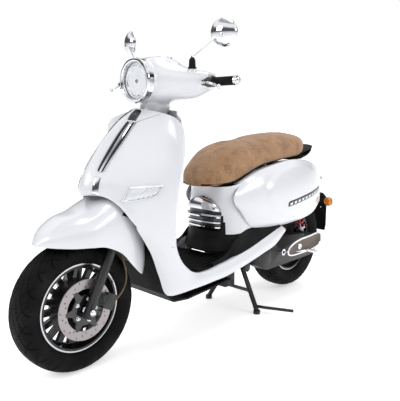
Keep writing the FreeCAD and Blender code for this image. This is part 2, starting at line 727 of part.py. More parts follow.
LENS_ROWS = [[(124, 132, 626), (150, 170, 610), (176, 214, 604), (192, 240, 628)],
             [(128, 146, 656), (152, 182, 652), (176, 222, 650), (192, 246, 650)]]
lens = skin([[place(x + 5, y - 4, z) for x, y, z in row] for row in LENS_ROWS], 8)
lens = lens.cut(skin([both_sides([(x, y, z) for x, y, z in row]) for row in SHIELD], 10))
lens = max(lens.Solids, key=lambda solid: solid.Volume)
feature("front_turn_signals", Part.makeCompound([lens, mirrored(lens)]))

INNER_SHIELD = [
    [(0, 446, 930), (60, 440, 928), (120, 396, 922), (170, 356, 908), (198, 344, 884)],
    [(0, 418, 800), (60, 412, 800), (120, 378, 795), (170, 348, 780), (204, 338, 760)],
    [(0, 382, 660), (60, 378, 660), (120, 354, 652), (172, 328, 640), (203, 316, 620)],
    [(0, 362, 520), (60, 360, 520), (120, 344, 510), (170, 322, 500), (202, 306, 480)],
    [(0, 366, 420), (60, 366, 420), (120, 356, 410), (168, 342, 400), (198, 330, 392)],
    [(0, 396, 330), (60, 396, 330), (120, 396, 328), (160, 396, 324), (190, 396, 320)]]
inner_shield = skin([both_sides(row) for row in INNER_SHIELD], wall, 1)
key_mouth = place(-62, 425, 800)
lock_radius = 13.0
inner_shield = inner_shield.cut(rod(key_mouth - Vector(0, 60, 0), key_mouth + Vector(0, 60, 0), lock_radius + 0.5))
feature("inner_leg_shield", inner_shield)
lock = rod(key_mouth - Vector(0, 42, 0), key_mouth + Vector(0, 2, 0), lock_radius)
key_radius = 4.0
lock = lock.cut(rod(key_mouth - Vector(0, 24, 0), key_mouth + Vector(0, 4, 0), key_radius + float(clearance)))
feature("ignition_lock", lock)
key = rod(key_mouth - Vector(0, 22, 0), key_mouth + Vector(0, 8, 0), key_radius)
key = key.fuse(Part.makeBox(3, 26, 22, key_mouth + Vector(-1.5, 6, -11))).removeSplitter()
feature("ignition_key", key)


def ribbon(points, thickness):
    """A folded strip seen from the side: the points, and back along them a wall lower."""
    lower = [(y, z - thickness) for y, z in reversed(points)]
    return [(along(y), z) for y, z in points + lower]


side_pad("floor_board", ribbon([(402, 312), (430, 298), (500, 288), (620, 294), (674, 302)], 9.0), 372)
side_pad("belly_pan", ribbon([(296, 470), (300, 330), (318, 236), (360, 196), (440, 188), (704, 208)], 8.0),
         280)

# ---------------------------------------------------------------- frame
frame = rod(steer(HEAD_LOW), steer(HEAD_HIGH), head_radius)
spine = route([steer(HEAD_LOW + 70) + Vector(0, 10, 0), place(0, 318, 560), place(0, 340, 400), place(0, 398, 248),
               place(0, 520, 238), place(0, 640, 244), place(0, 700, 262)], size("spine_radius"), 90)
frame = frame.fuse(spine)
cross_y, cross_z = 690.0, 262.0
frame = frame.fuse(rod(place(-112, cross_y, cross_z), place(112, cross_y, cross_z), size("rail_tube_radius")))
for side in (-1, 1):
    rail = route([place(side * 112, cross_y, cross_z), place(side * 116, 735, 380), place(side * 118, 770, 520),
                  place(side * 118, 880, 590), place(side * 118, 1180, 640), place(side * 64, 1430, 622)],
                 size("rail_tube_radius"), 80)
    frame = frame.fuse(rail)
engine_pivot = place(0, 905, 385)
stand_pivot = place(0, 905, 198)
plate_x = 68.0
for side in (-1, 1):
    inner_face = plate_x if side > 0 else -plate_x - 8
    plate = Part.makeBox(8, 36, 414, Vector(inner_face, stand_pivot.y - 18, 198))
    nose = Part.makeCylinder(18, 8, Vector(inner_face, stand_pivot.y, 198), Vector(1, 0, 0))
    tie = rod(place(side * plate_x, 905, 600), place(side * 118, 905, 594), 10)
    frame = frame.fuse([plate, nose, tie])
for pivot, radius in ((engine_pivot, size("engine_pin_radius")), (stand_pivot, size("stand_pin_radius"))):
    frame = frame.fuse(rod(pivot - Vector(plate_x + 2, 0, 0), pivot + Vector(plate_x + 2, 0, 0), radius))
shock_x = 112.0
shock_top = place(shock_x, 1240, 598)
shock_bottom = place(shock_x, 1285, 322)
frame = frame.fuse(rod(shock_top + Vector(-16, 0, 0), shock_top + Vector(16, 0, 0), size("shock_pin_radius")))
for near in (-22.0, 14.0):
    frame = frame.fuse(Part.makeBox(8, 24, 56, shock_top + Vector(near, -12, -10)))
bridge = rod(place(-118, 1180, 640), place(118, 1180, 640), 10)
frame = frame.fuse(bridge).cut(rod(steer(HEAD_LOW - 20), steer(HEAD_HIGH + 20), size("column_radius") + clearance))
seat_pivot = place(0, 700, 600)
seat_ear_x = 34.0
for side in (-1, 1):
    ear = Part.makeBox(6, 20, 44, Vector(side * seat_ear_x - 3, seat_pivot.y - 8, 566))
    stay = rod(Vector(side * seat_ear_x, seat_pivot.y + 6, 572), place(side * seat_ear_x, 778, 556), 6)
    frame = frame.fuse([ear, stay])
seat_cross = rod(place(-118, 778, 548), place(118, 778, 548), 9)
frame = frame.fuse(seat_cross)
frame = frame.fuse(rod(seat_pivot - Vector(seat_ear_x, 0, 0), seat_pivot + Vector(seat_ear_x, 0, 0),
                       size("seat_pin_radius")))
feature("main_frame", frame.removeSplitter())

# ---------------------------------------------------------------- seat column, cowls and tail
COLUMN = [
    [(0, 684, 590), (50, 687, 590), (90, 700, 592), (122, 728, 596), (136, 760, 602)],
    [(0, 674, 520), (50, 677, 520), (92, 692, 520), (126, 722, 520), (142, 760, 520)],
    [(0, 672, 440), (52, 676, 440), (96, 692, 440), (132, 722, 440), (150, 758, 440)],
    [(0, 668, 380), (54, 672, 380), (98, 690, 380), (136, 720, 382), (156, 756, 386)],
    [(0, 640, 322), (56, 646, 322), (102, 668, 326), (142, 706, 332), (164, 750, 340)]]
column_cover = skin([both_sides(row) for row in COLUMN], wall)
ear_slots = [Part.makeBox(14, 60, 60, Vector(side * seat_ear_x - 7, seat_pivot.y - 10, 552)) for side in (-1, 1)]
feature("seat_column", column_cover.cut(ear_slots[0]).cut(ear_slots[1]))
GRILLE = [[(0, 662, 545), (34, 664, 543), (62, 672, 536)],
          [(0, 650, 520), (46, 654, 518), (84, 674, 512)],
          [(0, 646, 470), (50, 651, 470), (90, 674, 468)],
          [(0, 652, 420), (46, 656, 420), (84, 678, 420)]]
grille = skin([both_sides(row) for row in GRILLE], 4.0)
feature("column_grille", grille.cut(column_cover))


def cowl_skin():
    """A bulged side cover between an upper and a lower edge, in sections from front to rear."""
    rows = []
    for y, low, high, base, bulge in (
            (742, 500, 618, 152, 2), (790, 432, 640, 164, 14), (880, 412, 668, 172, 34), (1000, 402, 688, 174, 44),
            (1120, 402, 700, 172, 46), (1240, 408, 692, 166, 38), (1340, 424, 666, 156, 22), (1412, 470, 610, 146, 4)):
        section = []
        for share in (0, 0.12, 0.32, 0.5, 0.68, 0.88, 1):
            rise = math.sin(math.pi * share) ** 0.7 if 0 < share < 1 else 0.0
            section.append(place(base + bulge * rise - 12 * share, y, low + (high - low) * share))
        rows.append(section)
    return skin(rows, wall, -1)


left_cowl = cowl_skin()
feature("left_side_cowl", left_cowl)
feature("right_side_cowl", mirrored(left_cowl))

tail_sections = [(1424, 614, 112, 54), (1470, 585, 96, 55), (1530, 555, 70, 55), (1582, 540, 50, 35)]
tail_outer = loft([oval(0, y, z, half, tall, "XZ", 2.8) for y, z, half, tall in tail_sections])
tail_inner = loft([oval(0, y + (-4 if i == 0 else 0), z, half - 4, tall - 4, "XZ", 2.8)
                   for i, (y, z, half, tall) in enumerate(tail_sections[:-1])])
tail_shell = tail_outer.cut(tail_inner)
feature("tail_cover", tail_shell)
light = Part.makeBox(84, 30, 44, place(-42, 1566, 528)).cut(tail_outer)
light = max(light.Solids, key=lambda solid: solid.Volume)
feature("tail_light", light)

CARRIER = [  # y, half width, underside z, top z: a cast grab handle, open underneath
    (1244, 128, 688, 706), (1290, 126, 682, 716), (1340, 122, 682, 725), (1390, 113, 694, 732), (1440, 100, 712, 738),
    (1464, 90, 724, 742), (1484, 78, 733, 752), (1512, 50, 743, 757)]
carrier = loft([oval(0, y, (low + high) / 2, half, (high - low) / 2, "XZ", 5) for y, half, low, high in CARRIER])
carrier_wall = 4.0
hollow = loft([oval(0, y, (low + high) / 2 - 12, half - carrier_wall, (high - low) / 2 + 12 - carrier_wall, "XZ", 5)
               for y, half, low, high in [(1249, *CARRIER[0][1:])] + CARRIER[1:-2]])
carrier = carrier.cut(hollow)
for side in (-1, 1):
    foot = rod(place(side * 117, 1264, 707), place(side * 103, 1250, 634), 8)
    carrier = carrier.fuse(foot)
tail_stay = rod(place(0, 1478, 746), place(0, 1452, 666), 8)
carrier = carrier.fuse(tail_stay).cut(bodies["main_frame"].Shape)
feature("rear_carrier", max(carrier.Solids, key=lambda solid: solid.Volume))

guard_wall = 5.0
plate_face = 1603.6
guard_points = [(1520, 497), (1560, 488), (1592, 466), (plate_face, 440), (plate_face, 300),
                (1594, 272), (1594 - guard_wall, 273), (plate_face - guard_wall, 302), (plate_face - guard_wall, 438),
                (1588, 461), (1558, 482), (1520, 491)]
rear_mudguard = side_pad("rear_mudguard", [(along(y), z) for y, z in guard_points], 150)
plate_hole_radius, plate_spacing, plate_hole_z = 3.25, 80.0, 400.0
doc.recompute()
hole_sketch = sketch_on(rear_mudguard, "XZ_Plane", "plate_holes_outline")
for side in (-1, 1):
    circle(hole_sketch, side * plate_spacing / 2, plate_hole_z, plate_hole_radius)
plate_holes = rear_mudguard.newObject("PartDesign::Pocket", "plate_holes")
plate_holes.Profile = hole_sketch
plate_holes.Type = "ThroughAll"
plate_holes.SideType = "Symmetric"
signal = []
for side in (-1, 1):
    stalk = rod(place(side * 76, 1537, 448), place(side * 114, 1537, 448), 6)
    lamp_body = Part.makeCylinder(24, 30, place(side * 122, 1522, 448), Vector(0, 1, 0))
    signal.append(stalk.fuse(lamp_body).removeSplitter())
feature("rear_turn_signals", Part.makeCompound(signal))

bucket_half, bucket_length, bucket_depth = plate_x - 6, 300.0, 188.0
bucket_corner = Vector(-bucket_half, float(along(796)), 440)
bucket_outer = Part.makeBox(2 * bucket_half, bucket_length, bucket_depth, bucket_corner)
bucket_inner = Part.makeBox(2 * (bucket_half - float(wall)), bucket_length - 2 * float(wall), bucket_depth,
                            bucket_corner + Vector(float(wall), float(wall), float(wall)))
feature("luggage_bucket", bucket_outer.cut(bucket_inner))
tank = Part.makeBox(124, 166, 60, place(-62, 1206, 612))
feature("fuel_tank", tank.makeFillet(14, tank.Edges).cut(bridge))

# ---------------------------------------------------------------- seat
SEAT = [  # y, half width, underside z, top z
    (608, 54, 616, 656), (640, 100, 616, 694), (690, 122, 618, 736), (745, 134, 622, 772), (808, 140, 642, 788),
    (900, 143, 676, 792), (1021, 144, 696, 808), (1120, 142, 706, 818), (1236, 136, 718, 822), (1340, 122, 734, 816),
    (1400, 104, 741, 798), (1440, 76, 745, 774), (1454, 44, 748, 762)]
BASE_DEPTH = 10.0
cushion = loft([oval(0, y, (low + BASE_DEPTH + high) / 2, half, (high - low - BASE_DEPTH) / 2, "XZ", 3.2)
                for y, half, low, high in SEAT])
feature("seat_cushion", cushion)
base = loft([oval(0, y, low + BASE_DEPTH / 2 - 0.5, half - 12, BASE_DEPTH / 2 - 0.6, "XZ", 6)
             for y, half, low, high in SEAT])
knuckle_half = seat_ear_x - 5
knuckle = rod(seat_pivot - Vector(knuckle_half, 0, 0), seat_pivot + Vector(knuckle_half, 0, 0), 8)
knuckle = knuckle.fuse(Part.makeBox(2 * knuckle_half, 12, 20, seat_pivot + Vector(-knuckle_half, -6, 0)))
base = base.fuse(knuckle).cut(cushion)
base = base.cut(rod(seat_pivot - Vector(60, 0, 0), seat_pivot + Vector(60, 0, 0), size("seat_pin_radius") + clearance))
feature("seat_base", max(base.removeSplitter().Solids, key=lambda solid: solid.Volume))

# ---------------------------------------------------------------- engine unit
rear_axle = Vector(0, float(along(NOMINAL_WHEELBASE)), float(rear_axle_z))
case_low_x, case_high_x = 86.0, 155.0
crankcase = Part.makeBox(116, 90, 128, Vector(-58, float(along(860)), 226))
link_block = Part.makeBox(144, 92, 110, Vector(-58, float(along(950)), 232))
head = Part.makeBox(92, 130, 96, Vector(-46, float(along(735)), 232))
sump = Part.makeBox(90, 66, 110, Vector(-45, float(along(780)), 126))
hanger = rod(engine_pivot - Vector(60, 0, 0), engine_pivot + Vector(60, 0, 0), 18)
hanger_web = Part.makeBox(116, 34, 50, Vector(-58, engine_pivot.y - 17, 340))
engine = crankcase.fuse([link_block, head, sump, hanger, hanger_web])
engine_pin = rod(engine_pivot - Vector(80, 0, 0), engine_pivot + Vector(80, 0, 0),
                 size("engine_pin_radius") + clearance)
feature("engine_case", engine.cut(engine_pin).removeSplitter())

case_front = place(0, 960, 270)
case_front_radius, case_rear_radius = 74.0, 58.0
front_boss = Part.makeCylinder(case_front_radius, case_high_x - case_low_x, case_front + Vector(case_low_x, 0, 0),
                               Vector(1, 0, 0))
rear_boss = Part.makeCylinder(case_rear_radius, case_high_x - case_low_x, rear_axle + Vector(case_low_x, 0, 0),
                              Vector(1, 0, 0))
between = Part.Face(Part.makePolygon([
    case_front + Vector(case_low_x, 0, case_front_radius), rear_axle + Vector(case_low_x, 0, case_rear_radius),
    rear_axle + Vector(case_low_x, 0, -case_rear_radius), case_front + Vector(case_low_x, 0, -case_front_radius),
    case_front + Vector(case_low_x, 0, case_front_radius)])).extrude(Vector(case_high_x - case_low_x, 0, 0))
drive = front_boss.fuse([rear_boss, between])
shock_lug = Part.makeBox(10, 36, 60, shock_bottom + Vector(-26, -18, -48))
shock_eye_room = rod(shock_bottom + Vector(-15.5, 0, 0), shock_bottom + Vector(60, 0, 0), 30)
shock_pin = rod(shock_bottom + Vector(-18, 0, 0), shock_bottom + Vector(17, 0, 0), size("shock_pin_radius"))
kick_pivot = Vector(case_high_x, float(along(1050)), 266)
kick_shaft = rod(kick_pivot, kick_pivot + Vector(24, 0, 0), size("kick_pin_radius"))
axle_room = rod(rear_axle + Vector(80, 0, 0), rear_axle + Vector(143, 0, 0), size("rear_axle_radius") + clearance)
drive = drive.cut(shock_eye_room).fuse([shock_lug, shock_pin, kick_shaft]).cut(axle_room)
feature("drive_case", drive.removeSplitter())

muffler_x, muffler_z, muffler_radius = -138.0, 246.0, 50.0
muffler = Part.makeCylinder(muffler_radius, 420, place(muffler_x, 1020, muffler_z), Vector(0, 1, 0))
tail_pipe = Part.makeCylinder(11, 36, place(muffler_x, 1436, muffler_z), Vector(0, 1, 0))
header = route([place(-30, 760, 222), place(-70, 772, 216), place(-104, 820, 228), place(-122, 900, 240),
                place(muffler_x, 1024, muffler_z)], 13, 60)
exhaust = muffler.fuse([tail_pipe, header]).cut(bodies["engine_case"].Shape)
hanger_plate = Part.makeBox(32, 60, 8, place(-90, 985, 250)).cut(muffler)
exhaust = exhaust.fuse(hanger_plate.cut(bodies["engine_case"].Shape)).removeSplitter()
feature("muffler", max(exhaust.Solids, key=lambda solid: solid.Volume))

kick_clamp = rod(kick_pivot + Vector(4, 0, 0), kick_pivot + Vector(22, 0, 0), 15)
kick_arm = route([kick_pivot + Vector(14, 8, 0), kick_pivot + Vector(18, 90, -14), kick_pivot + Vector(20, 215, -28)],
                 7, 60)
kick_pedal = rod(kick_pivot + Vector(14, 215, -28), kick_pivot + Vector(70, 215, -28), 9)
kick = kick_clamp.fuse([kick_arm, kick_pedal]).cut(
    rod(kick_pivot - Vector(5, 0, 0), kick_pivot + Vector(40, 0, 0), size("kick_pin_radius") + clearance))
feature("kick_lever", kick.removeSplitter())

# ---------------------------------------------------------------- rear wheel
rear_tyre = turned("rear_tyre", tyre_profile(size("rear_tyre_radius"), size("rear_tyre_width")))
move(rear_tyre, 0, along(NOMINAL_WHEELBASE), rear_axle_z)
rear_rim = turned("rear_rim", rim_profile(size("rear_hub_half"), size("rear_axle_radius")))
window = side_cut(rear_rim, "rear_window", spoke_window(100.0, size("rim_seat_radius") - 17))
round_about(rear_rim, "rear_windows", window, SPOKES)
move(rear_rim, 0, along(NOMINAL_WHEELBASE), rear_axle_z)
rear_end = size("rear_hub_half")
turned("rear_axle", [(0 - rear_end - 10, 0), (0 - rear_end - 10, 14), (0 - rear_end, 14),
                     (0 - rear_end, size("rear_axle_radius")), (rear_end, size("rear_axle_radius")), (rear_end, 14),
                     (rear_end + 20, 14), (rear_end + 20, size("rear_axle_radius")),
                     (140, size("rear_axle_radius")), (140, 0)])
move(bodies["rear_axle"], 0, along(NOMINAL_WHEELBASE), rear_axle_z)

# ---------------------------------------------------------------- rear shock
shock_way = (shock_bottom - shock_top).normalize()
shock_length = (shock_bottom - shock_top).Length
eye_half = 13.0


def eye(centre, hole):
    ring = rod(centre - Vector(eye_half, 0, 0), centre + Vector(eye_half, 0, 0), 14)
    return ring, rod(centre - Vector(30, 0, 0), centre + Vector(30, 0, 0), hole)


ring, hole = eye(shock_top, size("shock_pin_radius") + clearance)
body_end = 150.0
body = rod(shock_top + shock_way * 12, shock_top + shock_way * body_end, 13)
collar = rod(shock_top + shock_way * 22, shock_top + shock_way * 28, 27)
rod_bore = rod(shock_top + shock_way * 34, shock_top + shock_way * (body_end + 1), size("shock_rod_radius") + clearance)
feature("shock_body", ring.fuse([body, collar]).cut(hole).cut(rod_bore).removeSplitter())
ring, hole = eye(shock_bottom, size("shock_pin_radius") + size("shock_pin_clearance"))
travel = 76.0
piston_rod = rod(shock_top + shock_way * (34 + travel), shock_bottom - shock_way * 8, size("shock_rod_radius"))
seat_disc = rod(shock_bottom - shock_way * 26, shock_bottom - shock_way * 20, 27)
feature("shock_rod", ring.fuse([piston_rod, seat_disc]).cut(hole).removeSplitter())
spring_start, spring_end = 28.5, shock_length - 26.5
COILS = 9
wire_radius, coil_radius = 3.6, 21.5
helix = Part.makeHelix((spring_end - spring_start - 2 * wire_radius) / COILS,
                       spring_end - spring_start - 2 * wire_radius, coil_radius)
section = Part.Wire(Part.Circle(Vector(coil_radius, 0, 0), Vector(0, 1, 0), wire_radius).toShape())
coil = Part.Wire(helix).makePipeShell([section], True, True)
coil.Placement = Placement(shock_top + shock_way * (spring_start + wire_radius),
                           Rotation(Vector(0, 0, 1), shock_way))
feature("shock_spring", coil)

# ---------------------------------------------------------------- centre stand
stand = rod(stand_pivot - Vector(plate_x - 2, 0, 0), stand_pivot + Vector(plate_x - 2, 0, 0),
            size("stand_tube_radius"))
foot_x, foot_y, foot_height = 151.0, 883.0, 12.0
stand_root_x = 40.0
for side in (-1, 1):
    leg_end = place(side * foot_x, foot_y, foot_height + 2)
    leg_tube = rod(stand_pivot + Vector(side * stand_root_x, 0, 0), leg_end, size("stand_leg_radius"))
    foot = Part.makeCylinder(16, foot_height + 4, place(side * foot_x, foot_y, 0), Vector(0, 0, 1))
    stand = stand.fuse([leg_tube, foot])
stay_z = 96.0
stay_share = (198 - stay_z) / (198 - foot_height - 2)
stay_x = stand_root_x + (foot_x - stand_root_x) * stay_share
stay_y = 905 + (foot_y - 905) * stay_share
stand = stand.fuse(rod(place(-stay_x, stay_y, stay_z), place(stay_x, stay_y, stay_z), 8))
tang = route([place(150, 886, 34), place(178, 905, 30), place(232, 936, 28), place(300, 960, 30)], 7, 40)
stand = stand.fuse(tang).cut(rod(stand_pivot - Vector(90, 0, 0), stand_pivot + Vector(90, 0, 0),
                                 size("stand_pin_radius") + clearance))
feature("centre_stand", stand.removeSplitter())

# ---------------------------------------------------------------- checks and files
doc.recompute()
for thing in doc.Objects:
    if {"Invalid", "Error"} & set(thing.State):
        raise RuntimeError(f"{thing.Name} failed: {thing.State}")
for name, thing in bodies.items():
    if thing.Shape.isNull() or not thing.Shape.isValid() or not thing.Shape.Solids:
        raise RuntimeError(f"{name} has no valid solid")
if len(bodies) > 60:
    raise RuntimeError(f"{len(bodies)} pieces, and parts/ holds 60")
for name, thing in bodies.items():
    thing.Shape.exportStep(f"parts/{name}.step")
print(len(bodies), "pieces")
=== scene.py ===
import json
import math
import bmesh
import bpy
from mathutils import Matrix, Vector


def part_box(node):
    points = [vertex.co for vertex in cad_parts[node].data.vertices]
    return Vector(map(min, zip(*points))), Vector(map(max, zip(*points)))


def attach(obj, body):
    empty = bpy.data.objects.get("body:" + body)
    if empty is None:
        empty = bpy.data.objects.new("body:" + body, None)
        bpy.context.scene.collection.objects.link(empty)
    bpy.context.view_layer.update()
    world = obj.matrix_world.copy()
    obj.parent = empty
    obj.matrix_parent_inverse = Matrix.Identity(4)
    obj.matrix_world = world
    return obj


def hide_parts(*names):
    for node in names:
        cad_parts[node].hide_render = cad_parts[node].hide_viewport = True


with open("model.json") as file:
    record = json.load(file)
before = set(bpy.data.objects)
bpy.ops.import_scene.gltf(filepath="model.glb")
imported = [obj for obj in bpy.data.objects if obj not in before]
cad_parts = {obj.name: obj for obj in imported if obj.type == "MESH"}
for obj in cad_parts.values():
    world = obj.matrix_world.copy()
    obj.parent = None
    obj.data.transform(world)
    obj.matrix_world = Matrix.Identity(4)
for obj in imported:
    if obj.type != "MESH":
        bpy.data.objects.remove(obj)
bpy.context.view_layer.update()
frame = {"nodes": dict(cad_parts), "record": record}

# ---------------------------------------------------------------- studio
# A pale sweep of paper under the scooter, three broad soft boxes, and a room of light and dark
# bands that the paint and the chrome mirror. The camera stands ahead of the scooter, on its left.
scene = bpy.context.scene
scene.view_settings.view_transform = "Standard"
CAMERA_SPOT = Vector((1.5977, -1.7161, 0.9242))
HEADING, TILT, ROLL = math.radians(43.4354), math.radians(9.364), math.radians(0.3032)
camera_data = bpy.data.cameras.new("studio_camera")
camera_data.sensor_width, camera_data.lens = 36, 48.34
camera = bpy.data.objects.new("studio_camera", camera_data)
scene.collection.objects.link(camera)
sight = Vector((-math.sin(HEADING) * math.cos(TILT), math.cos(HEADING) * math.cos(TILT), -math.sin(TILT)))
level = sight.cross(Vector((0, 0, 1))).normalized()
upright = level.cross(sight)
rightward = level * math.cos(ROLL) + upright * math.sin(ROLL)
upward = upright * math.cos(ROLL) - level * math.sin(ROLL)
facing = Matrix((rightward, upward, -sight)).transposed().to_4x4()
camera.matrix_world = Matrix.Translation(CAMERA_SPOT) @ facing
scene.camera = camera

floor_mesh = bpy.data.meshes.new("studio_floor")
sheet = bmesh.new()
bmesh.ops.create_grid(sheet, x_segments=1, y_segments=1, size=40)
sheet.to_mesh(floor_mesh)
sheet.free()
floor = bpy.data.objects.new("studio_floor", floor_mesh)
scene.collection.objects.link(floor)
paper = bpy.data.materials.new("studio_paper")
paper.use_nodes = True
for socket, value in (("Base Color", (0.95, 0.95, 0.95, 1)), ("Roughness", 0.9),
                      ("Emission Color", (1, 1, 1, 1)), ("Emission Strength", 0.5)):
    paper.node_tree.nodes["Principled BSDF"].inputs[socket].default_value = value
floor_mesh.materials.append(paper)

room = bpy.data.worlds.new("studio_room")
room.use_nodes = True
scene.world = room
air = room.node_tree
aim = air.nodes.new("ShaderNodeTexCoord")
split = air.nodes.new("ShaderNodeSeparateXYZ")
air.links.new(aim.outputs["Generated"], split.inputs[0])
bands = air.nodes.new("ShaderNodeValToRGB")
air.links.new(split.outputs["Z"], bands.inputs[0])
bands.color_ramp.interpolation = "EASE"
bands.color_ramp.elements[0].color = (0.95, 0.95, 0.95, 1)
bands.color_ramp.elements[1].color = (0.8, 0.82, 0.86, 1)
for where, grey in ((0.04, 0.9), (0.17, 0.1), (0.36, 0.14), (0.52, 1.25), (0.72, 1.25), (0.85, 0.5)):
    stop = bands.color_ramp.elements.new(where)
    stop.color = (grey, grey, grey * 1.03, 1)
studio_light = air.nodes["Background"]
air.links.new(bands.outputs[0], studio_light.inputs["Color"])
studio_light.inputs["Strength"].default_value = 1.0
backdrop = air.nodes.new("ShaderNodeBackground")
backdrop.inputs["Color"].default_value = (1, 1, 1, 1)
ray = air.nodes.new("ShaderNodeLightPath")
choice = air.nodes.new("ShaderNodeMixShader")
air.links.new(ray.outputs["Is Camera Ray"], choice.inputs[0])
air.links.new(studio_light.outputs[0], choice.inputs[1])
air.links.new(backdrop.outputs[0], choice.inputs[2])
air.links.new(choice.outputs[0], air.nodes["World Output"].inputs[0])


def soft_box(name, spot, target, width, depth, watts):
    lamp = bpy.data.lights.new(name, "AREA")
    lamp.shape = "RECTANGLE"
    lamp.size, lamp.size_y, lamp.energy = width, depth, watts
    box = bpy.data.objects.new(name, lamp)
    scene.collection.objects.link(box)
    box.location = spot
    box.rotation_euler = (Vector(target) - Vector(spot)).to_track_quat("-Z", "Y").to_euler()


soft_box("front_box", (-0.9, -4.2, 2.8), (0, -0.2, 0.5), 2.4, 1.4, 55)
soft_box("side_box", (4.2, 1.4, 2.6), (0, 0.2, 0.5), 2.2, 0.9, 45)
soft_box("top_box", (0.2, 0.4, 3.8), (0, 0, 0.3), 3.0, 1.2, 45)

# ---------------------------------------------------------------- leg shield and side rails
# One moulded apron from the neck to the wheel arch, whose cheeks run back as rails beside the
# floor. It is sprayed cool white and lacquered, and its outer edges are rolled over.
AXLE = sum(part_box("front_axle"), Vector()) / 2


def at(x, y, z):
    """Metres from millimetres: across, behind the front axle, above the ground."""
    return Vector((x / 1000, AXLE.y + y / 1000, z / 1000))


class Shade:
    """A socket of a finish; sums, differences, products and comparisons of it add Math nodes."""

    def __init__(self, tree, socket):
        self.tree, self.socket = tree, socket

    def make(self, kind, settings, inputs, output=0):
        """Add one node: its settings first, then its sockets' values or links."""
        node = self.tree.nodes.new("ShaderNode" + kind)
        for name, value in settings.items():
            if name == "stops":
                while len(node.color_ramp.elements) < len(value):
                    node.color_ramp.elements.new(0.5)
                for stop, (where, colour) in zip(node.color_ramp.elements, value):
                    stop.position, stop.color = where, (*colour, 1)
            else:
                setattr(node, name, value)
        for name, value in inputs.items():
            if isinstance(value, Shade):
                self.tree.links.new(value.socket, node.inputs[name])
            else:
                node.inputs[name].default_value = value
        return Shade(self.tree, node.outputs[output])

    def maths(self, operation, *terms):
        return self.make("Math", {"operation": operation}, dict(enumerate(terms)))

    def __add__(self, other):
        return self.maths("ADD", self, other)

    def __radd__(self, other):
        return self.maths("ADD", other, self)

    def __sub__(self, other):
        return self.maths("SUBTRACT", self, other)

    def __rsub__(self, other):
        return self.maths("SUBTRACT", other, self)

    def __mul__(self, other):
        return self.maths("MULTIPLY", self, other)

    def __rmul__(self, other):
        return self.maths("MULTIPLY", other, self)

    def __pow__(self, other):
        return self.maths("POWER", self, other)

    def __lt__(self, other):
        return self.maths("LESS_THAN", self, other)

    def __gt__(self, other):
        return self.maths("GREATER_THAN", self, other)

    def between(self, low, high):
        """0 up to low, 1 from high, and a smooth step from one to the other."""
        return self.make("MapRange", {"interpolation_type": "SMOOTHSTEP"},
                         {"Value": self, "From Min": low, "From Max": high})


class Finish:
    """A material round one Principled shader, with its patterns on the piece's own coordinates."""

    def __init__(self, name, colour, roughness, metallic=0.0, **constants):
        self.material = bpy.data.materials.new(name)
        self.material.use_nodes = True
        self.tree = self.material.node_tree
        self.shader = self.tree.nodes["Principled BSDF"]
        self.shader.inputs["Base Color"].default_value = (*colour, 1)
        self.shader.inputs["Roughness"].default_value = roughness
        self.shader.inputs["Metallic"].default_value = metallic
        for socket, value in constants.items():
            self.shader.inputs[socket.replace("_", " ")].default_value = value
        self.colour = colour
        self.relief = None
        self.place = Shade(self.tree, self.tree.nodes.new("ShaderNodeTexCoord").outputs["Object"])

    def stretched(self, scale, shift=(0, 0, 0)):
        return self.place.make("Mapping", {}, {"Vector": self.place, "Scale": scale, "Location": shift})

    def noise(self, scale, detail=3.0, rough=0.5, on=None):
        return self.place.make("TexNoise", {}, {"Vector": on or self.place, "Scale": scale,
                                                "Detail": detail, "Roughness": rough})

    def cells(self, scale, feature="F1", on=None):
        return self.place.make("TexVoronoi", {"feature": feature}, {"Vector": on or self.place, "Scale": scale})

    def axis(self, number):
        return self.place.make("SeparateXYZ", {}, {0: self.place}, number)

    def tint(self, factor, colour):
        """Blend the base colour towards another by a factor."""
        self.colour = self.place.make("Mix", {"data_type": "RGBA"}, {0: factor, 7: (*colour, 1),
                                      6: self.colour if isinstance(self.colour, Shade) else (*self.colour, 1)}, 2)
        return self.feed("Base Color", self.colour)

    def feed(self, socket, shade):
        self.tree.links.new(shade.socket, self.shader.inputs[socket])
        return self

    def bump(self, height, distance, strength=1.0):
        inputs = {"Height": height, "Distance": distance, "Strength": strength}
        if self.relief:
            inputs["Normal"] = self.relief
        self.relief = self.place.make("Bump", {}, inputs)
        return self.feed("Normal", self.relief)


def sprayed(name, colour, roughness, coat):
    """Lacquered paint: faint orange peel, a little drift in colour, slightly uneven gloss."""
    finish = Finish(name, colour, roughness, Coat_Weight=coat, Coat_Roughness=0.05)
    finish.tint(finish.noise(7, 4).between(0.35, 0.75) * 0.4, [c * 0.955 for c in colour])
    finish.feed("Roughness", roughness - 0.03 + finish.noise(45, 3) * 0.07)
    return finish.bump(finish.noise(700, 2), 0.0001, 0.2)


white_paint = sprayed("white_paint", (0.64, 0.65, 0.672), 0.24, 0.6)


def finished(name, mesh, body, *finishes, crease=30):
    """Merge and orient a bmesh, give it its finishes and make it a piece that rides on a body."""
    bmesh.ops.remove_doubles(mesh, verts=mesh.verts, dist=0.00002)
    bmesh.ops.recalc_face_normals(mesh, faces=mesh.faces)
    data = bpy.data.meshes.new(name)
    mesh.to_mesh(data)
    mesh.free()
    for finish in finishes:
        data.materials.append(finish.material)
    data.shade_smooth()
    data.set_sharp_from_angle(angle=math.radians(crease))
    piece = bpy.data.objects.new(name, data)
    scene.collection.objects.link(piece)
    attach(piece, body)
    return piece


def walled(piece, wall, offset=-1):
    step = piece.modifiers.new("wall", "SOLIDIFY")
    step.thickness, step.offset, step.use_even_offset = wall, offset, True
    return piece


def rounded(piece, width, segments=2, angle=40):
    step = piece.modifiers.new("edge", "BEVEL")
    step.width, step.segments = width, segments
    step.limit_method, step.angle_limit = "ANGLE", math.radians(angle)
    return piece


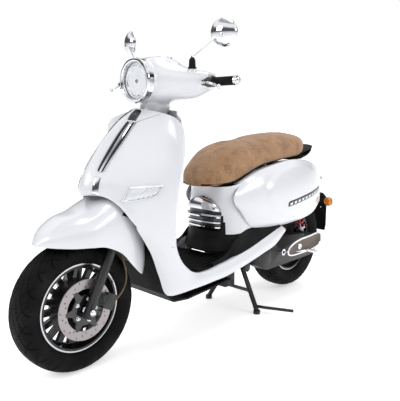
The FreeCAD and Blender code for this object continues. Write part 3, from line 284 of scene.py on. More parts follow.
def through(points, share):
    """A place on the smooth curve through a list of points, with share from 0 to 1."""
    spans = len(points) - 1
    place = min(max(share, 0.0), 1.0) * spans
    index = min(int(place), spans - 1)
    t = place - index
    here, there = points[index], points[index + 1]
    before = points[index - 1] if index else here * 2 - there
    after = points[index + 2] if index + 2 <= spans else there * 2 - here
    return (here * (2 * t ** 3 - 3 * t * t + 1) + (there - before) / 2 * (t ** 3 - 2 * t * t + t)
            + there * (3 * t * t - 2 * t ** 3) + (after - here) / 2 * (t ** 3 - t * t))


def skin(rows, u, v):
    return through([through(row, u) for row in rows], v)


def poured(patch, mesh):
    """Add a patch to a mesh and free it."""
    spare = bpy.data.meshes.new("spare")
    patch.to_mesh(spare)
    patch.free()
    mesh.from_mesh(spare)
    bpy.data.meshes.remove(spare)
    return mesh


def panel(rows, across, down, mesh=None, first=0.0):
    """A grid laid smoothly through rows of points, from a share of the way down them."""
    sheet = bmesh.new()
    bmesh.ops.create_grid(sheet, x_segments=across, y_segments=down, size=1)
    for vert in sheet.verts:
        vert.co = skin(rows, (vert.co.x + 1) / 2, first + (1 - first) * (1 - vert.co.y) / 2)
    return poured(sheet, mesh) if mesh else sheet


def row(points, side=1):
    return [at(side * x, y, z) for x, y, z in points]


def whole(points):
    """A half row, listed from the middle outwards, made the full width of the scooter."""
    return row(points[:0:-1], -1) + row(points)


SHIELD = [                                           # rows down the apron, from its middle to its edge
    [(0, 298, 936), (50, 321, 929), (100, 336, 920), (145, 338, 911), (180, 335, 900), (205, 331, 885), (216, 328, 872)],
    [(0, 224, 890), (50, 252, 885), (100, 292, 876), (145, 316, 866), (182, 327, 852), (208, 331, 836), (222, 331, 820)],
    [(0, 150, 825), (50, 190, 820), (100, 242, 808), (145, 281, 794), (183, 307, 776), (210, 321, 757), (223, 325, 738)],
    [(0, 95, 755), (50, 126, 750), (98, 182, 734), (142, 234, 714), (180, 273, 692), (206, 297, 668), (219, 306, 645)],
    [(0, 58, 695), (50, 82, 689), (93, 132, 668), (136, 188, 640), (174, 238, 608), (203, 276, 580), (217, 293, 556)],
    [(0, 42, 650), (48, 66, 647), (82, 106, 630), (120, 150, 594), (158, 206, 545), (196, 258, 500), (215, 293, 478)],
    [(0, 44, 628), (38, 64, 632), (76, 100, 622), (116, 130, 588), (141, 176, 520), (186, 248, 448), (211, 298, 434)]]
RAIL = [                                             # rows back along a rail, from its foot to its top
    [(147, 210, 455), (169, 240, 432), (192, 274, 410), (209, 314, 402)],
    [(151, 240, 400), (174, 262, 392), (196, 294, 380), (208, 330, 376)],
    [(156, 270, 315), (182, 290, 318), (203, 326, 322), (205, 370, 331)],
    [(176, 296, 240), (203, 330, 256), (210, 380, 282), (203, 428, 302)],
    [(184, 420, 236), (209, 445, 252), (212, 470, 278), (201, 500, 297)],
    [(185, 520, 241), (209.5, 532, 256), (213, 546, 284), (201, 560, 305)],
    [(186, 620, 248), (210, 621, 262), (213, 621, 290), (200, 621, 312)],
    [(186, 770, 276), (210, 766, 290), (213, 760, 316), (200, 752, 337)],
    [(185, 860, 295), (208, 858, 310), (211, 856, 338), (198, 852, 362)],
    [(182, 950, 314), (202, 950, 330), (204, 950, 360), (194, 951, 386)],
    [(178, 1050, 366), (187, 1046, 374), (188, 1036, 386), (183, 1026, 396)]]
LIP = ((1, 8, 1), (-5, 15, 1), (-14, 17, 0))       # how the shield's edge rolls over, behind it
TURN_IN = ((-7, 5, 2), (-18, 7, 1))                # and the rail's top edge, over the floor


def rolled(points, lip):
    x, y, z = points[-1]
    return points + [(x + dx, y + dy, z + dz) for dx, dy, dz in lip]


apron = panel([whole(rolled(points, LIP)) for points in SHIELD], 72, 48)
for side in (-1, 1):
    cheeks = [row(rolled(points, TURN_IN), side) for points in RAIL]
    lead_in = [[through(row(rolled(points, LIP[:2]), side), 0.5 + i / 10) for i in range(6)] for points in SHIELD[5:]]
    panel(lead_in + cheeks, 20, 72, apron, first=1 / (len(RAIL) + 1))
shield = walled(finished("apron", apron, "chassis", white_paint), 0.003)
rounded(shield, 0.001)
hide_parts("leg_shield", "side_rails")

# ---------------------------------------------------------------- shield trims
# Plated strips on gloss black beds run down each side of the shield's ridge, under a black air
# scoop, with a short plate below. They clip into slots; fine black seams fan out above them.
chrome = Finish("bright_chrome", (0.64, 0.65, 0.67), 0.07, 1.0)
chrome.feed("Roughness", 0.045 + chrome.noise(35, 4) * 0.05)
# Painted reflection: broad darker blotches in the plating's colour stand in for dark surroundings mirrored in it.
chrome.tint(chrome.noise(4, 2).between(0.5, 0.8) * 0.3, (0.5, 0.52, 0.56))
gloss_black = sprayed("gloss_black", (0.005, 0.005, 0.006), 0.2, 0.3)
SHIELD_ROWS = [whole(points) for points in SHIELD]


def shield_place(x, v, lift):
    """A place on the shield, x mm across and v rows down, lifted off it by some millimetres."""
    low, high = 0.0, 1.0
    for _ in range(18):
        middle = (low + high) / 2
        if skin(SHIELD_ROWS, middle, v / 6).x * 1000 < x:
            low = middle
        else:
            high = middle
    here = skin(SHIELD_ROWS, low, v / 6)
    across = skin(SHIELD_ROWS, low + 0.01, v / 6) - skin(SHIELD_ROWS, low - 0.01, v / 6)
    down = skin(SHIELD_ROWS, low, (v + 0.03) / 6) - skin(SHIELD_ROWS, low, (v - 0.03) / 6)
    return here + down.cross(across).normalized() * lift / 1000


def shield_strip(mesh, side, stops, cross, steps, blunt):
    """A strip down the shield: stops are (v, x, half width); cross is (share, lift, finish)."""
    strip = bmesh.new()
    bmesh.ops.create_grid(strip, x_segments=len(cross) - 1, y_segments=steps, size=1)
    first, last = stops[0][0], stops[-1][0]
    for face in strip.faces:
        band = int((face.calc_center_median().x + 1) / 2 * (len(cross) - 1))
        face.material_index = cross[band][2]
    for vert in strip.verts:
        number = round((vert.co.x + 1) / 2 * (len(cross) - 1))
        share, lift, _ = cross[number]
        v = first + (last - first) * (1 - vert.co.y) / 2
        middle = through([Vector(stop) for stop in stops], (v - first) / (last - first))
        end = 0.0
        for near, edge in ((blunt[0], (v - first) / 0.16), (blunt[1], (last - v) / 0.16)):
            if near and edge < 1:
                end = max(end, 1 - max(edge, 0.0))
        half = middle.z * math.sqrt(max(1 - end ** 2, 0.02))
        vert.co = shield_place(side * (middle.y + share * half), v, lift * min(1, (1 - end) * 3))
    poured(strip, mesh)


STRIP = ((-1, -1.5, 1), (-0.98, 1.6, 0), (-0.9, 3.4, 0), (-0.76, 3.4, 1), (-0.7, 0.6, 1), (-0.34, 0.6, 1),
         (-0.3, 2.6, 0), (-0.18, 4.2, 0), (0.18, 4.2, 0), (0.3, 2.6, 1), (0.34, 0.6, 1), (0.7, 0.6, 1),
         (0.76, 3.4, 0), (0.9, 3.4, 0), (0.98, 1.6, 1), (1, -1.5, 1))
PLATE = ((-1, -1.5, 0), (-0.96, 1.4, 0), (-0.8, 2.4, 0), (0, 3.0, 0), (0.8, 2.4, 0), (0.96, 1.4, 0), (1, -1.5, 0))
SCOOP = ((-1, -1.5, 1), (-0.96, 2.2, 1), (-0.82, 2.8, 1), (-0.7, 0.9, 1), (0, 0.5, 1), (0.7, 0.9, 1),
         (0.82, 2.8, 1), (0.96, 2.2, 1), (1, -1.5, 1))
SEAM = ((-1, -0.6, 1), (-0.6, 0.35, 1), (0.6, 0.35, 1), (1, -0.6, 1))
trims = bmesh.new()
for side in (-1, 1):
    shield_strip(trims, side, [(1.02, 41, 15), (2.0, 43, 14), (3.0, 45, 12), (3.62, 46, 10.5)], STRIP, 90, (0, 1))
    shield_strip(trims, side, [(3.9, 48, 7.5), (5.0, 50, 9), (5.6, 50, 10)], PLATE, 30, (0, 0))
    shield_strip(trims, side, [(0.08, 19, 12), (0.5, 27, 14), (0.92, 37, 13)], SCOOP, 24, (1, 0))
    shield_strip(trims, side, [(0.03, 104, 1.1), (0.5, 79.5, 1.1), (1.0, 55, 1.1)], SEAM, 24, (0, 0))
trims = finished("shield_trims", trims, "chassis", chrome, gloss_black)

# ---------------------------------------------------------------- front turn signals
# Long slanted lamps let into the shield's cheeks: a clear lens over a white bowl, a plated rim,
# and slanting plated bars over the rear half of the lens.
lens = Finish("lamp_lens", (0.6, 0.615, 0.63), 0.05, Coat_Weight=1.0, Coat_Roughness=0.02)
lens.tint(lens.noise(60, 3).between(0.4, 0.7) * 0.5, (0.7, 0.72, 0.75))
lens.bump(lens.noise(240, 1), 0.0006, 0.4)
LAMP = ((119, 3.95), (183, 3.33), (174, 3.76), (110, 4.83))      # front top, rear top, rear bottom, front bottom


def lamp_place(side, u, v, lift):
    top = Vector(LAMP[0]).lerp(Vector(LAMP[1]), u)
    low = Vector(LAMP[3]).lerp(Vector(LAMP[2]), u)
    spot = top.lerp(low, v)
    return shield_place(side * spot.x, spot.y, lift)


def lamp_grid(mesh, side, across, down, shape, finish):
    """A patch of the lamp: shape turns grid shares into (u, v, lift)."""
    patch = bmesh.new()
    bmesh.ops.create_grid(patch, x_segments=across, y_segments=down, size=1)
    for vert in patch.verts:
        vert.co = lamp_place(side, *shape((vert.co.x + 1) / 2, (1 - vert.co.y) / 2))
    for face in patch.faces:
        face.material_index = finish
    poured(patch, mesh)


def lamp_dome(u, v):
    return u, v, -1 + 5.5 * (math.sin(math.pi * u) * math.sin(math.pi * v)) ** 0.35


lamps = bmesh.new()
for side in (-1, 1):
    lamp_grid(lamps, side, 28, 12, lamp_dome, 0)
    for bar in range(4):
        start = 0.44 + bar * 0.125

        def bar_shape(u, v, start=start):
            lift = lamp_dome(max(0.02, min(start + 0.05 * u + 0.1 * (1 - v), 0.98)), 0.06 + 0.88 * v)[2]
            return start + 0.055 * u + 0.11 * (1 - v), 0.06 + 0.88 * v, lift + 1.4 * math.sin(math.pi * u) - 0.4
        lamp_grid(lamps, side, 4, 12, bar_shape, 1)
    for edge in range(4):
        def rim_shape(u, v, edge=edge):
            out = (v - 0.5) * (0.05 if edge in (1, 3) else 0.2)
            along = -0.02 + 1.04 * u
            lift = -1 + 5.2 * math.sin(math.pi * v) ** 0.5
            return [(along, out, lift), (1 + out, along, lift), (along, 1 + out, lift), (out, along, lift)][edge]
        lamp_grid(lamps, side, 20, 6, rim_shape, 1)
lamps = finished("front_lamps", lamps, "chassis", lens, chrome)
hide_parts("front_turn_signals")

# ---------------------------------------------------------------- front fender
# A deep moulded fender on the fork yoke, sprayed with the apron; it narrows to a rear skirt,
# with a soft crease down each side, and is bare brown plastic inside.
FENDER = (
    (-151, 484, 14, -149, 480), (-110, 527, 66, -108, 476), (-50, 562, 98, -52, 470), (20, 580, 116, 8, 466),
    (90, 612, 121, 62, 458), (150, 630, 121, 128, 424), (212, 604, 120, 176, 372), (258, 520, 108, 222, 330),
    (275, 420, 92, 246, 322), (277, 340, 66, 260, 324))
fender_rows = []
for crown_y, crown_z, half, edge_y, edge_z in FENDER:
    points = []
    for share in (0, 0.18, 0.35, 0.5, 0.62, 0.75, 0.87, 1.0):
        drop = share ** 2.6
        points.append((half * math.sin(share * math.pi / 2) ** 0.85,
                       crown_y + (edge_y - crown_y) * drop, crown_z + (edge_z - crown_z) * drop))
    fender_rows.append(whole(points))
bare_brown = Finish("bare_brown_plastic", (0.075, 0.055, 0.04), 0.6)
bare_brown.tint(bare_brown.noise(18, 4).between(0.4, 0.7), (0.11, 0.085, 0.06))
bare_brown.bump(bare_brown.noise(900, 2), 0.0001)
fender = finished("fender", panel(fender_rows, 64, 64), "steering", white_paint, bare_brown)
walled(fender, 0.003).modifiers["wall"].material_offset = 1
rounded(fender, 0.001)
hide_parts("front_fender")

# ---------------------------------------------------------------- headset cover
# Two white mouldings that close round the handlebar and the lamp, blended into one smooth
# body, which flows down into the neck round the steering tube.
HEADSET = ((0, 402, 1043, 98, 88), (55, 406, 1041, 92, 86), (95, 422, 1033, 74, 68), (150, 456, 1028, 50, 53),
           (196, 482, 1036, 38, 36), (214, 489, 1037, 33, 31))


SQUARED = 2 / 2.4


def eased(value, power):
    """A sine or cosine raised to a power, its sign kept: it squares off an oval."""
    return math.copysign(abs(value) ** power, value)


def oval(x, y, z, deep, tall, steps=28):
    """A squared oval round a point, standing in the plane across the bar."""
    ring = []
    for step in range(steps + 1):
        turn = step / steps * math.tau
        ring.append(at(x, y + deep * eased(math.cos(turn), SQUARED), z + tall * eased(math.sin(turn), SQUARED)))
    return ring


def capped(mesh):
    """Close the open ends of a tube-like mesh."""
    bmesh.ops.remove_doubles(mesh, verts=mesh.verts, dist=0.00002)
    bmesh.ops.holes_fill(mesh, edges=[edge for edge in mesh.edges if edge.is_boundary], sides=0)
    return mesh


def lathe(mesh, profile, centre, axis, steps=64, finish=0, arc=math.tau):
    """Spin a profile of (distance along, radius) about an axis through a centre."""
    axis = Vector(axis).normalized()
    out = axis.orthogonal().normalized()
    before = set(mesh.faces)
    verts = [mesh.verts.new(centre + axis * (along / 1000) + out * (max(radius, 0.0) / 1000))
             for along, radius in profile]
    edges = [mesh.edges.new(pair) for pair in zip(verts, verts[1:])]
    bmesh.ops.spin(mesh, geom=verts + edges, cent=centre, axis=axis, angle=arc, steps=steps,
                   use_merge=arc == math.tau, use_duplicate=False)
    for face in mesh.faces:
        if face not in before:
            face.material_index = finish
    return mesh


def settled(piece):
    """Make a piece's modifiers part of its mesh, and drop them."""
    done = bpy.data.meshes.new_from_object(piece.evaluated_get(bpy.context.evaluated_depsgraph_get()))
    piece.modifiers.clear()
    piece.data = done
    return piece


def fused(piece, voxel, passes):
    """Melt overlapping solids into one smooth skin."""
    step = piece.modifiers.new("melt", "REMESH")
    step.mode, step.voxel_size = "VOXEL", voxel
    relax = piece.modifiers.new("relax", "SMOOTH")
    relax.factor, relax.iterations = 0.5, passes
    settled(piece).data.shade_smooth()
    return piece


stations = [(-x, y, z, deep, tall) for x, y, z, deep, tall in HEADSET[:0:-1]] + list(HEADSET)
cover = capped(panel([oval(*station) for station in stations], 56, 80))
LAMP_CENTRE = at(0, 298, 1038)
lathe(cover, ((8, 0), (8, 80.5), (60, 80.5), (120, 74), (160, 50), (160, 0)), LAMP_CENTRE, (0, 1, 0), 72)
RAKE = math.radians(27)
STEM_AXIS = Vector((0, math.sin(RAKE), math.cos(RAKE)))
STEM_FOOT = at(0, 0, 236.4) - Vector((0, -math.cos(RAKE), math.sin(RAKE))) * 0.03
lathe(cover, ((735, 0), (735, 46), (760, 46), (792, 54), (826, 62), (826, 0)), STEM_FOOT, STEM_AXIS, 48)
for side in (-1, 1):
    lathe(cover, ((-30, 0), (-30, 14), (44, 13), (44, 0)), at(side * 160, 440, 1040), (0, 0, 1), 24)
cover = finished("headset", cover, "steering", white_paint)
fused(cover, 0.0032, 14)
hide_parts("headset_cover")

# ---------------------------------------------------------------- headlamp and dial
# A broad plated bezel holds a clear glass; behind it sit stepped plated rings and a dark
# projector eye. The round dial on top of the headset has a plated ring, black face and ticks.
mirror_black = Finish("projector_glass", (0.02, 0.022, 0.026), 0.04, Coat_Weight=1.0, Coat_Roughness=0.02)
mirror_black.tint(mirror_black.noise(30, 2).between(0.5, 0.8) * 0.5, (0.06, 0.065, 0.08))
clear_glass = Finish("clear_glass", (0.92, 0.94, 0.95), 0.03, Alpha=0.14, Coat_Weight=1.0, Coat_Roughness=0.02)
clear_glass.bump(clear_glass.noise(12, 2), 0.0005, 0.2)
lamp = bmesh.new()
lathe(lamp, ((24, 81.2), (2, 83.5), (-2, 84.5), (-6, 83.5), (-9, 80), (-9.5, 75), (-7, 71), (-2, 68.5), (4, 68),
             (12, 68)), LAMP_CENTRE, (0, 1, 0), 96, 0)
lamp = finished("lamp_bezel", lamp, "steering", chrome, gloss_black)
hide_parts("headlight_bezel")
bowl = bmesh.new()
lathe(bowl, ((2, 68.5), (8, 66), (12, 61), (13, 60)), LAMP_CENTRE, (0, 1, 0), 96, 1)
lathe(bowl, ((13, 60), (7, 58), (5, 55), (7, 52), (12, 50), (20, 47), (24, 42), (26, 36), (26, 30), (20, 29), (18, 27),
             (20, 25)), LAMP_CENTRE, (0, 1, 0), 96, 0)
lathe(bowl, ((20, 25.5), (14, 23), (9, 16), (6.5, 8), (6, 0)), LAMP_CENTRE, (0, 1, 0), 64, 2)
lathe(bowl, ((24, 9), (16, 9), (12, 6), (11, 0)), LAMP_CENTRE + Vector((0, 0, -0.04)), (0, 1, 0), 24, 2)
for turned_to in range(12):
    angle = turned_to / 12 * math.tau
    spot = LAMP_CENTRE + Vector((math.cos(angle), 0, math.sin(angle))) * 0.0455
    lathe(bowl, ((24, 2.6), (17, 2.2), (16, 0)), spot, (0, 1, 0), 12, 0)
bowl = finished("lamp_bowl", bowl, "steering", chrome, gloss_black, mirror_black)
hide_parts("headlight_reflector")
glass = bmesh.new()
lathe(glass, ((3, 68.4), (-1, 60), (-5, 40), (-7, 20), (-7.6, 0)), LAMP_CENTRE, (0, 1, 0), 96, 0)
glass = finished("lamp_glass", glass, "steering", clear_glass)
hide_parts("headlight_lens")

DIAL = at(0, 436, 1116)
dial_face = Finish("dial_face", (0.015, 0.016, 0.018), 0.3, Coat_Weight=1.0, Coat_Roughness=0.03)
across, along = dial_face.axis(0), dial_face.axis(1) - DIAL.y
swing = dial_face.place.maths("ARCTAN2", along, across)
span = (across * across + along * along) ** 0.5
tick = (dial_face.place.maths("PINGPONG", swing, math.tau / 48) < 0.012) * (span > 0.026) * (span < 0.032)
dial_face.tint(tick, (0.8, 0.82, 0.84))
dial_face.feed("Roughness", 0.22 + dial_face.noise(50, 2) * 0.1)
DIAL_TOP = 17
dial = bmesh.new()
lathe(dial, ((-2, 0), (-2, 38), (2, 40), (DIAL_TOP - 4, 39), (DIAL_TOP - 1, 37), (DIAL_TOP, 35), (DIAL_TOP - 1.5, 33)),
      DIAL, (0, 0, 1), 64, 0)
lathe(dial, ((DIAL_TOP - 1.5, 33.2), (DIAL_TOP - 1.6, 0)), DIAL, (0, 0, 1), 64, 1)
dial = finished("dial", dial, "steering", chrome, dial_face)
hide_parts("instrument_cluster")

# ---------------------------------------------------------------- parts kept to their machined shape
# Levers, stems, shells, castings and brackets: each keeps its own solid, with its skin merged
# and shaded smooth, in the finish that the real part has.
satin_black = sprayed("satin_black", (0.004, 0.004, 0.0045), 0.42, 0.05)
moulded = Finish("moulded_black", (0.004, 0.004, 0.0045), 0.55, Specular_IOR_Level=0.12)
moulded.tint(moulded.noise(14, 4).between(0.4, 0.75), (0.012, 0.012, 0.013))
moulded.feed("Roughness", 0.48 + moulded.noise(30, 3) * 0.16)
moulded.bump(moulded.cells(1300), 0.00012, 0.6)
bright_steel = Finish("bright_steel", (0.72, 0.73, 0.75), 0.22, 1.0)
bright_steel.tint(bright_steel.noise(40, 4).between(0.5, 0.8) * 0.6, (0.55, 0.56, 0.58))
bright_steel.bump(bright_steel.noise(300, 2), 0.0001, 0.4)
rubber = Finish("soft_rubber", (0.005, 0.005, 0.0055), 0.72, Specular_IOR_Level=0.14)
rubber.tint(rubber.noise(22, 4).between(0.45, 0.75), (0.016, 0.016, 0.016))
rubber.bump(rubber.noise(700, 3), 0.0002, 0.6)
red_paint = sprayed("spring_red", (0.55, 0.02, 0.015), 0.28, 0.5)
amber = Finish("amber_lens", (0.85, 0.28, 0.015), 0.12, Coat_Weight=1.0, Coat_Roughness=0.03)
amber.bump(amber.cells(260), 0.0006, 0.6)
amber.tint(amber.cells(260).between(0.2, 0.7), (0.65, 0.17, 0.01))
ruby = Finish("ruby_lens", (0.6, 0.015, 0.012), 0.12, Coat_Weight=1.0, Coat_Roughness=0.03)
ruby.bump(ruby.cells(300), 0.0006, 0.6)
ruby.tint(ruby.cells(300).between(0.2, 0.7), (0.35, 0.006, 0.006))
hose_skin = Finish("hose_braid", (0.05, 0.042, 0.032), 0.35, 0.4)
hose_skin.tint(hose_skin.cells(900).between(0.2, 0.6), (0.16, 0.11, 0.06))
muffler_skin = Finish("burnt_steel", (0.045, 0.045, 0.048), 0.4, 0.6)
muffler_skin.tint(muffler_skin.noise(9, 5).between(0.45, 0.7), (0.10, 0.085, 0.07))
muffler_skin.bump(muffler_skin.noise(500, 3), 0.0002, 0.5)
NODE_BODY = {node: body for body, members in frame["record"]["behaviour"]["bodies"].items() for node in members}


def refined(node, finish, crease=32):
    """A CAD node's own shape, its loose faces merged and shaded smooth, in a finish."""
    mesh = bmesh.new()
    mesh.from_mesh(frame["nodes"][node].data)
    bmesh.ops.remove_doubles(mesh, verts=mesh.verts, dist=0.00001)
    for face in mesh.faces:
        face.material_index = 0
    data = bpy.data.meshes.new(node + "_skin")
    mesh.to_mesh(data)
    mesh.free()
    data.materials.append(finish.material)
    data.shade_smooth()
    data.set_sharp_from_angle(angle=math.radians(crease))
    piece = bpy.data.objects.new(node + "_skin", data)
    scene.collection.objects.link(piece)
    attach(piece, NODE_BODY[node])
    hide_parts(node)
    return piece


KEPT = {
    "main_frame": satin_black, "inner_leg_shield": white_paint, "ignition_lock": bright_steel,
    "belly_pan": moulded, "tail_cover": white_paint, "rear_mudguard": moulded,
    "luggage_bucket": moulded, "fuel_tank": satin_black, "steering_stem": satin_black, "handlebar": chrome,
    "switch_housings": gloss_black, "brake_hose": hose_skin, "left_brake_lever": chrome,
    "right_brake_lever": chrome, "horn_button": bright_steel, "starter_button": ruby, "turn_switch": moulded,
    "left_mirror_stem": chrome, "right_mirror_stem": chrome, "ignition_key": bright_steel, "fork_sliders": satin_black,
    "front_axle": bright_steel, "brake_caliper": satin_black, "engine_case": satin_black, "drive_case": satin_black,
    "muffler": muffler_skin, "rear_axle": bright_steel, "kick_lever": bright_steel, "shock_body": bright_steel,
    "shock_spring": red_paint, "shock_rod": bright_steel, "centre_stand": satin_black, "seat_base": moulded}
for node, finish in KEPT.items():
    refined(node, finish)

# ---------------------------------------------------------------- mirror heads
# Spun steel domes, plated, that turn on the stems' balls; a rolled rim holds the round glass,
# which is toed in towards the rider. Rubber boots close the holes round the stems' feet.
mirror_glass = Finish("mirror_glass", (0.8, 0.82, 0.84), 0.02, 1.0)
mirror_glass.feed("Roughness", 0.01 + mirror_glass.noise(6, 2) * 0.02)
TOE_IN = math.radians(20)
for side, word in ((1, "left"), (-1, "right")):
    facing = Vector((side * math.sin(TOE_IN), -math.cos(TOE_IN), 0))
    centre = at(side * 266, 493, 1210)
    head = bmesh.new()
    lathe(head, ((20, 0), (19.6, 8), (18, 20), (14, 32), (8, 42), (1, 49), (-4, 51.6), (-7, 52), (-9, 51), (-9, 49),
                 (-7, 48)), centre, facing, 64, 0)
    lathe(head, ((-7, 48.2), (-6, 30), (-5.6, 0)), centre, facing, 64, 1)
    socket = centre + facing * 0.0135 + Vector((0, 0, -0.012))
    lathe(head, ((-2, 9), (5, 9), (7, 7.5), (8, 5), (8, 0)), socket, facing, 24, 0)
    head = finished(word + "_mirror_dome", head, word + "_mirror", chrome, mirror_glass)
    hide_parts(word + "_mirror_head")
    boot = bmesh.new()
    lathe(boot, ((-2, 7), (-2, 16), (0, 17), (2.5, 16), (3.5, 13.2), (26, 12), (30, 11.4), (33, 9.6), (38, 6.4),
                 (39, 5), (38, 4)), at(side * 160, 440, 1084.5), (0, 0, 1), 40)
    boot = finished(word + "_mirror_boot", boot, word + "_mirror_arm", rubber)

# ---------------------------------------------------------------- grips and bar ends
# Black rubber sleeves with moulded rings, pushed on the bar, and plated bar-end weights.
BAR_KNEE, BAR_TIP = Vector((120, 452, 1030)), Vector((340, 497, 1037))


def on_bar(side, x):
    spot = BAR_KNEE.lerp(BAR_TIP, (x - 120) / 220)
    return at(side * spot.x, spot.y, spot.z)


for side, node, body in ((1, "left_grip", "steering"), (-1, "throttle_grip", "throttle")):
    low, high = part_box(node)
    start, stop = sorted((abs(low.x), abs(high.x)))
    start, stop = start * 1000 + 2, stop * 1000 - 2
    foot = on_bar(side, start)
    along = on_bar(side, stop) - foot
    length = along.length * 1000
    sleeve = bmesh.new()
    profile = [(0, 12), (0, 18), (3, 19.5), (6, 18)]
    ring = 8.0
    while ring < length - 16:
        profile += [(ring, 16.4), (ring + 0.8, 15.4), (ring + 2.2, 15.4), (ring + 3, 16.4)]
        ring += 4.4
    profile += [(length - 13, 17), (length - 12, 17.5)]
    lathe(sleeve, profile, foot, along, 40, 0)
    lathe(sleeve, ((length - 12, 16), (length - 11.5, 18), (length - 3, 18), (length - 0.6, 16), (length, 12),
                   (length - 0.4, 0)), foot, along, 40, 1)
    sleeve = finished(node + "_sleeve", sleeve, body, rubber, chrome)
    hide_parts(node)

# ---------------------------------------------------------------- wheels
# Moulded tubeless tyres with swept tread grooves, on black cast wheels whose spokes leave
# a ring of tapered windows; the rim lip is turned bright.
tyre_rubber = Finish("tyre_rubber", (0.0035, 0.0035, 0.004), 0.66, Specular_IOR_Level=0.09)
tyre_rubber.tint(tyre_rubber.noise(12, 5).between(0.4, 0.75), (0.012, 0.0118, 0.0115))
# Painted shade: the rubber is darkened down in the tread grooves, the more the deeper they are.
painted_groove_shade = tyre_rubber.place.make("Attribute", {"attribute_name": "groove"}, {}, 2)
tyre_rubber.tint(painted_groove_shade.between(0.1, 0.8), (0.0015, 0.0015, 0.0015))
tyre_rubber.feed("Roughness", 0.58 + tyre_rubber.noise(40, 4) * 0.2)
tyre_rubber.bump(tyre_rubber.noise(800, 3), 0.0002, 0.5)
for end in ("front", "rear"):
    low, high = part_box(end + "_tyre")
    hub = (low + high) / 2
    radius, half = (high.z - low.z) * 500, (high.x - low.x) * 500
    rim_low, rim_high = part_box(end + "_rim")
    bead = (rim_high.z - rim_low.z) * 500
    flank = [(0.56 * half, bead - 7), (0.78 * half, bead - 1), (0.92 * half, bead + 0.18 * (radius - bead)),
             (1.0 * half, bead + 0.42 * (radius - bead)), (0.985 * half, bead + 0.6 * (radius - bead)),
             (0.9 * half, bead + 0.77 * (radius - bead)), (0.74 * half, bead + 0.89 * (radius - bead)),
             (0.5 * half, bead + 0.965 * (radius - bead)), (0.25 * half, bead + 0.993 * (radius - bead)), (0, radius)]
    section = [Vector(point) for point in flank] + [Vector((-x, r)) for x, r in flank[-2::-1]]
    AROUND, ACROSS = 640, 64
    tyre = bmesh.new()
    groove = tyre.verts.layers.float.new("groove")
    bmesh.ops.create_grid(tyre, x_segments=AROUND, y_segments=ACROSS, size=1)
    for vert in tyre.verts:
        turn, share = (vert.co.x + 1) * math.pi, (vert.co.y + 1) / 2
        spot = through(section, share)
        reach = abs(spot.x) / half
        depth = 0.0
        if spot.y > bead + 0.55 * (radius - bead):
            hand = 0 if spot.x > 0 else 0.5
            pitch = math.tau / 22
            sweep = turn / pitch + hand - 2.1 * (1 - reach) ** 1.5
            near = abs((sweep + 0.5) % 1 - 0.5) * pitch * radius
            if reach > 0.1:
                depth = 4.2 * (1 - min(near / 4.2, 1) ** 4)
            cross = turn / pitch * 1.0 + hand + 1.5 * (1 - reach) + 0.35
            near = abs((cross + 0.5) % 1 - 0.5) * pitch * radius
            if 0.42 < reach < 0.93:
                depth = max(depth, 3.2 * (1 - min(near / 3.4, 1) ** 4))
        vert[groove] = depth / 4.2
        away = spot.y - depth
        vert.co = hub + Vector((spot.x - math.copysign(depth * 0.3 * reach, spot.x),
                                away * math.sin(turn), away * math.cos(turn))) / 1000
    tyre = finished(end + "_tyre_tread", tyre, end + "_wheel", tyre_rubber, crease=50)
    end + "_tyre"
    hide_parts(end + "_tyre")

    wheel_paint = Finish(end + "_wheel_paint", (0.006, 0.006, 0.0065), 0.24, Specular_IOR_Level=0.3,
                         Coat_Weight=0.2, Coat_Roughness=0.08)
    ahead, above = wheel_paint.axis(1) - hub.y, wheel_paint.axis(2) - hub.z
    reach = (ahead * ahead + above * above) ** 0.5
    polished = reach > (bead - 9) / 1000
    turned_mark = wheel_paint.place.maths("PINGPONG", reach, 0.0007) * 900
    wheel_paint.tint(polished, (0.5, 0.51, 0.53))
    wheel_paint.feed("Metallic", polished)
    wheel_paint.feed("Roughness", 0.2 + wheel_paint.noise(60, 3) * 0.08 + polished * turned_mark * 0.03)
    refined(end + "_rim", wheel_paint)

# ---------------------------------------------------------------- front brake disc
# A drilled stainless ring riveted to a black carrier, bolted to the hub with bright bolts.
HUB = AXLE.copy()
disc_low, disc_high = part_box("front_brake_disc")
DISC_IN, DISC_OUT = disc_low.x * 1000, disc_high.x * 1000
disc_steel = Finish("disc_steel", (0.33, 0.30, 0.30), 0.36, 0.75)
ahead, above = disc_steel.axis(1) - HUB.y, disc_steel.axis(2) - HUB.z
swept = disc_steel.place.maths("PINGPONG", (ahead * ahead + above * above) ** 0.5, 0.0011) * 500
disc_steel.tint(swept * disc_steel.noise(20, 3), (0.22, 0.195, 0.2))
disc_steel.feed("Roughness", 0.3 + swept * 0.12)
blade = bmesh.new()
lathe(blade, ((DISC_IN, 76), (DISC_OUT, 76), (DISC_OUT, 110), (DISC_IN, 110), (DISC_IN, 76)), Vector((0, HUB.y, HUB.z)),
      (1, 0, 0), 120)
blade = finished("disc_blade", blade, "front_wheel", disc_steel)
drill = bmesh.new()
for hole in range(30):
    angle = (hole + (0.12, -0.12, 0)[hole % 3]) / 30 * math.tau
    reach = (0.084, 0.093, 0.102)[hole % 3]
    spot = Vector(((DISC_IN + DISC_OUT) / 2000, HUB.y + reach * math.sin(angle), HUB.z + reach * math.cos(angle)))
    bmesh.ops.create_cone(drill, cap_ends=True, segments=12, radius1=0.0026, radius2=0.0026, depth=0.02,
                          matrix=Matrix.Translation(spot) @ Matrix.Rotation(math.pi / 2, 4, "Y"))
drill_data = bpy.data.meshes.new("drill")
drill.to_mesh(drill_data)
drill.free()
drill_piece = bpy.data.objects.new("drill", drill_data)
scene.collection.objects.link(drill_piece)
cut = blade.modifiers.new("holes", "BOOLEAN")
cut.operation, cut.object, cut.solver = "DIFFERENCE", drill_piece, "EXACT"
settled(blade)
bpy.data.objects.remove(drill_piece)
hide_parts("front_brake_disc")
carrier = bmesh.new()
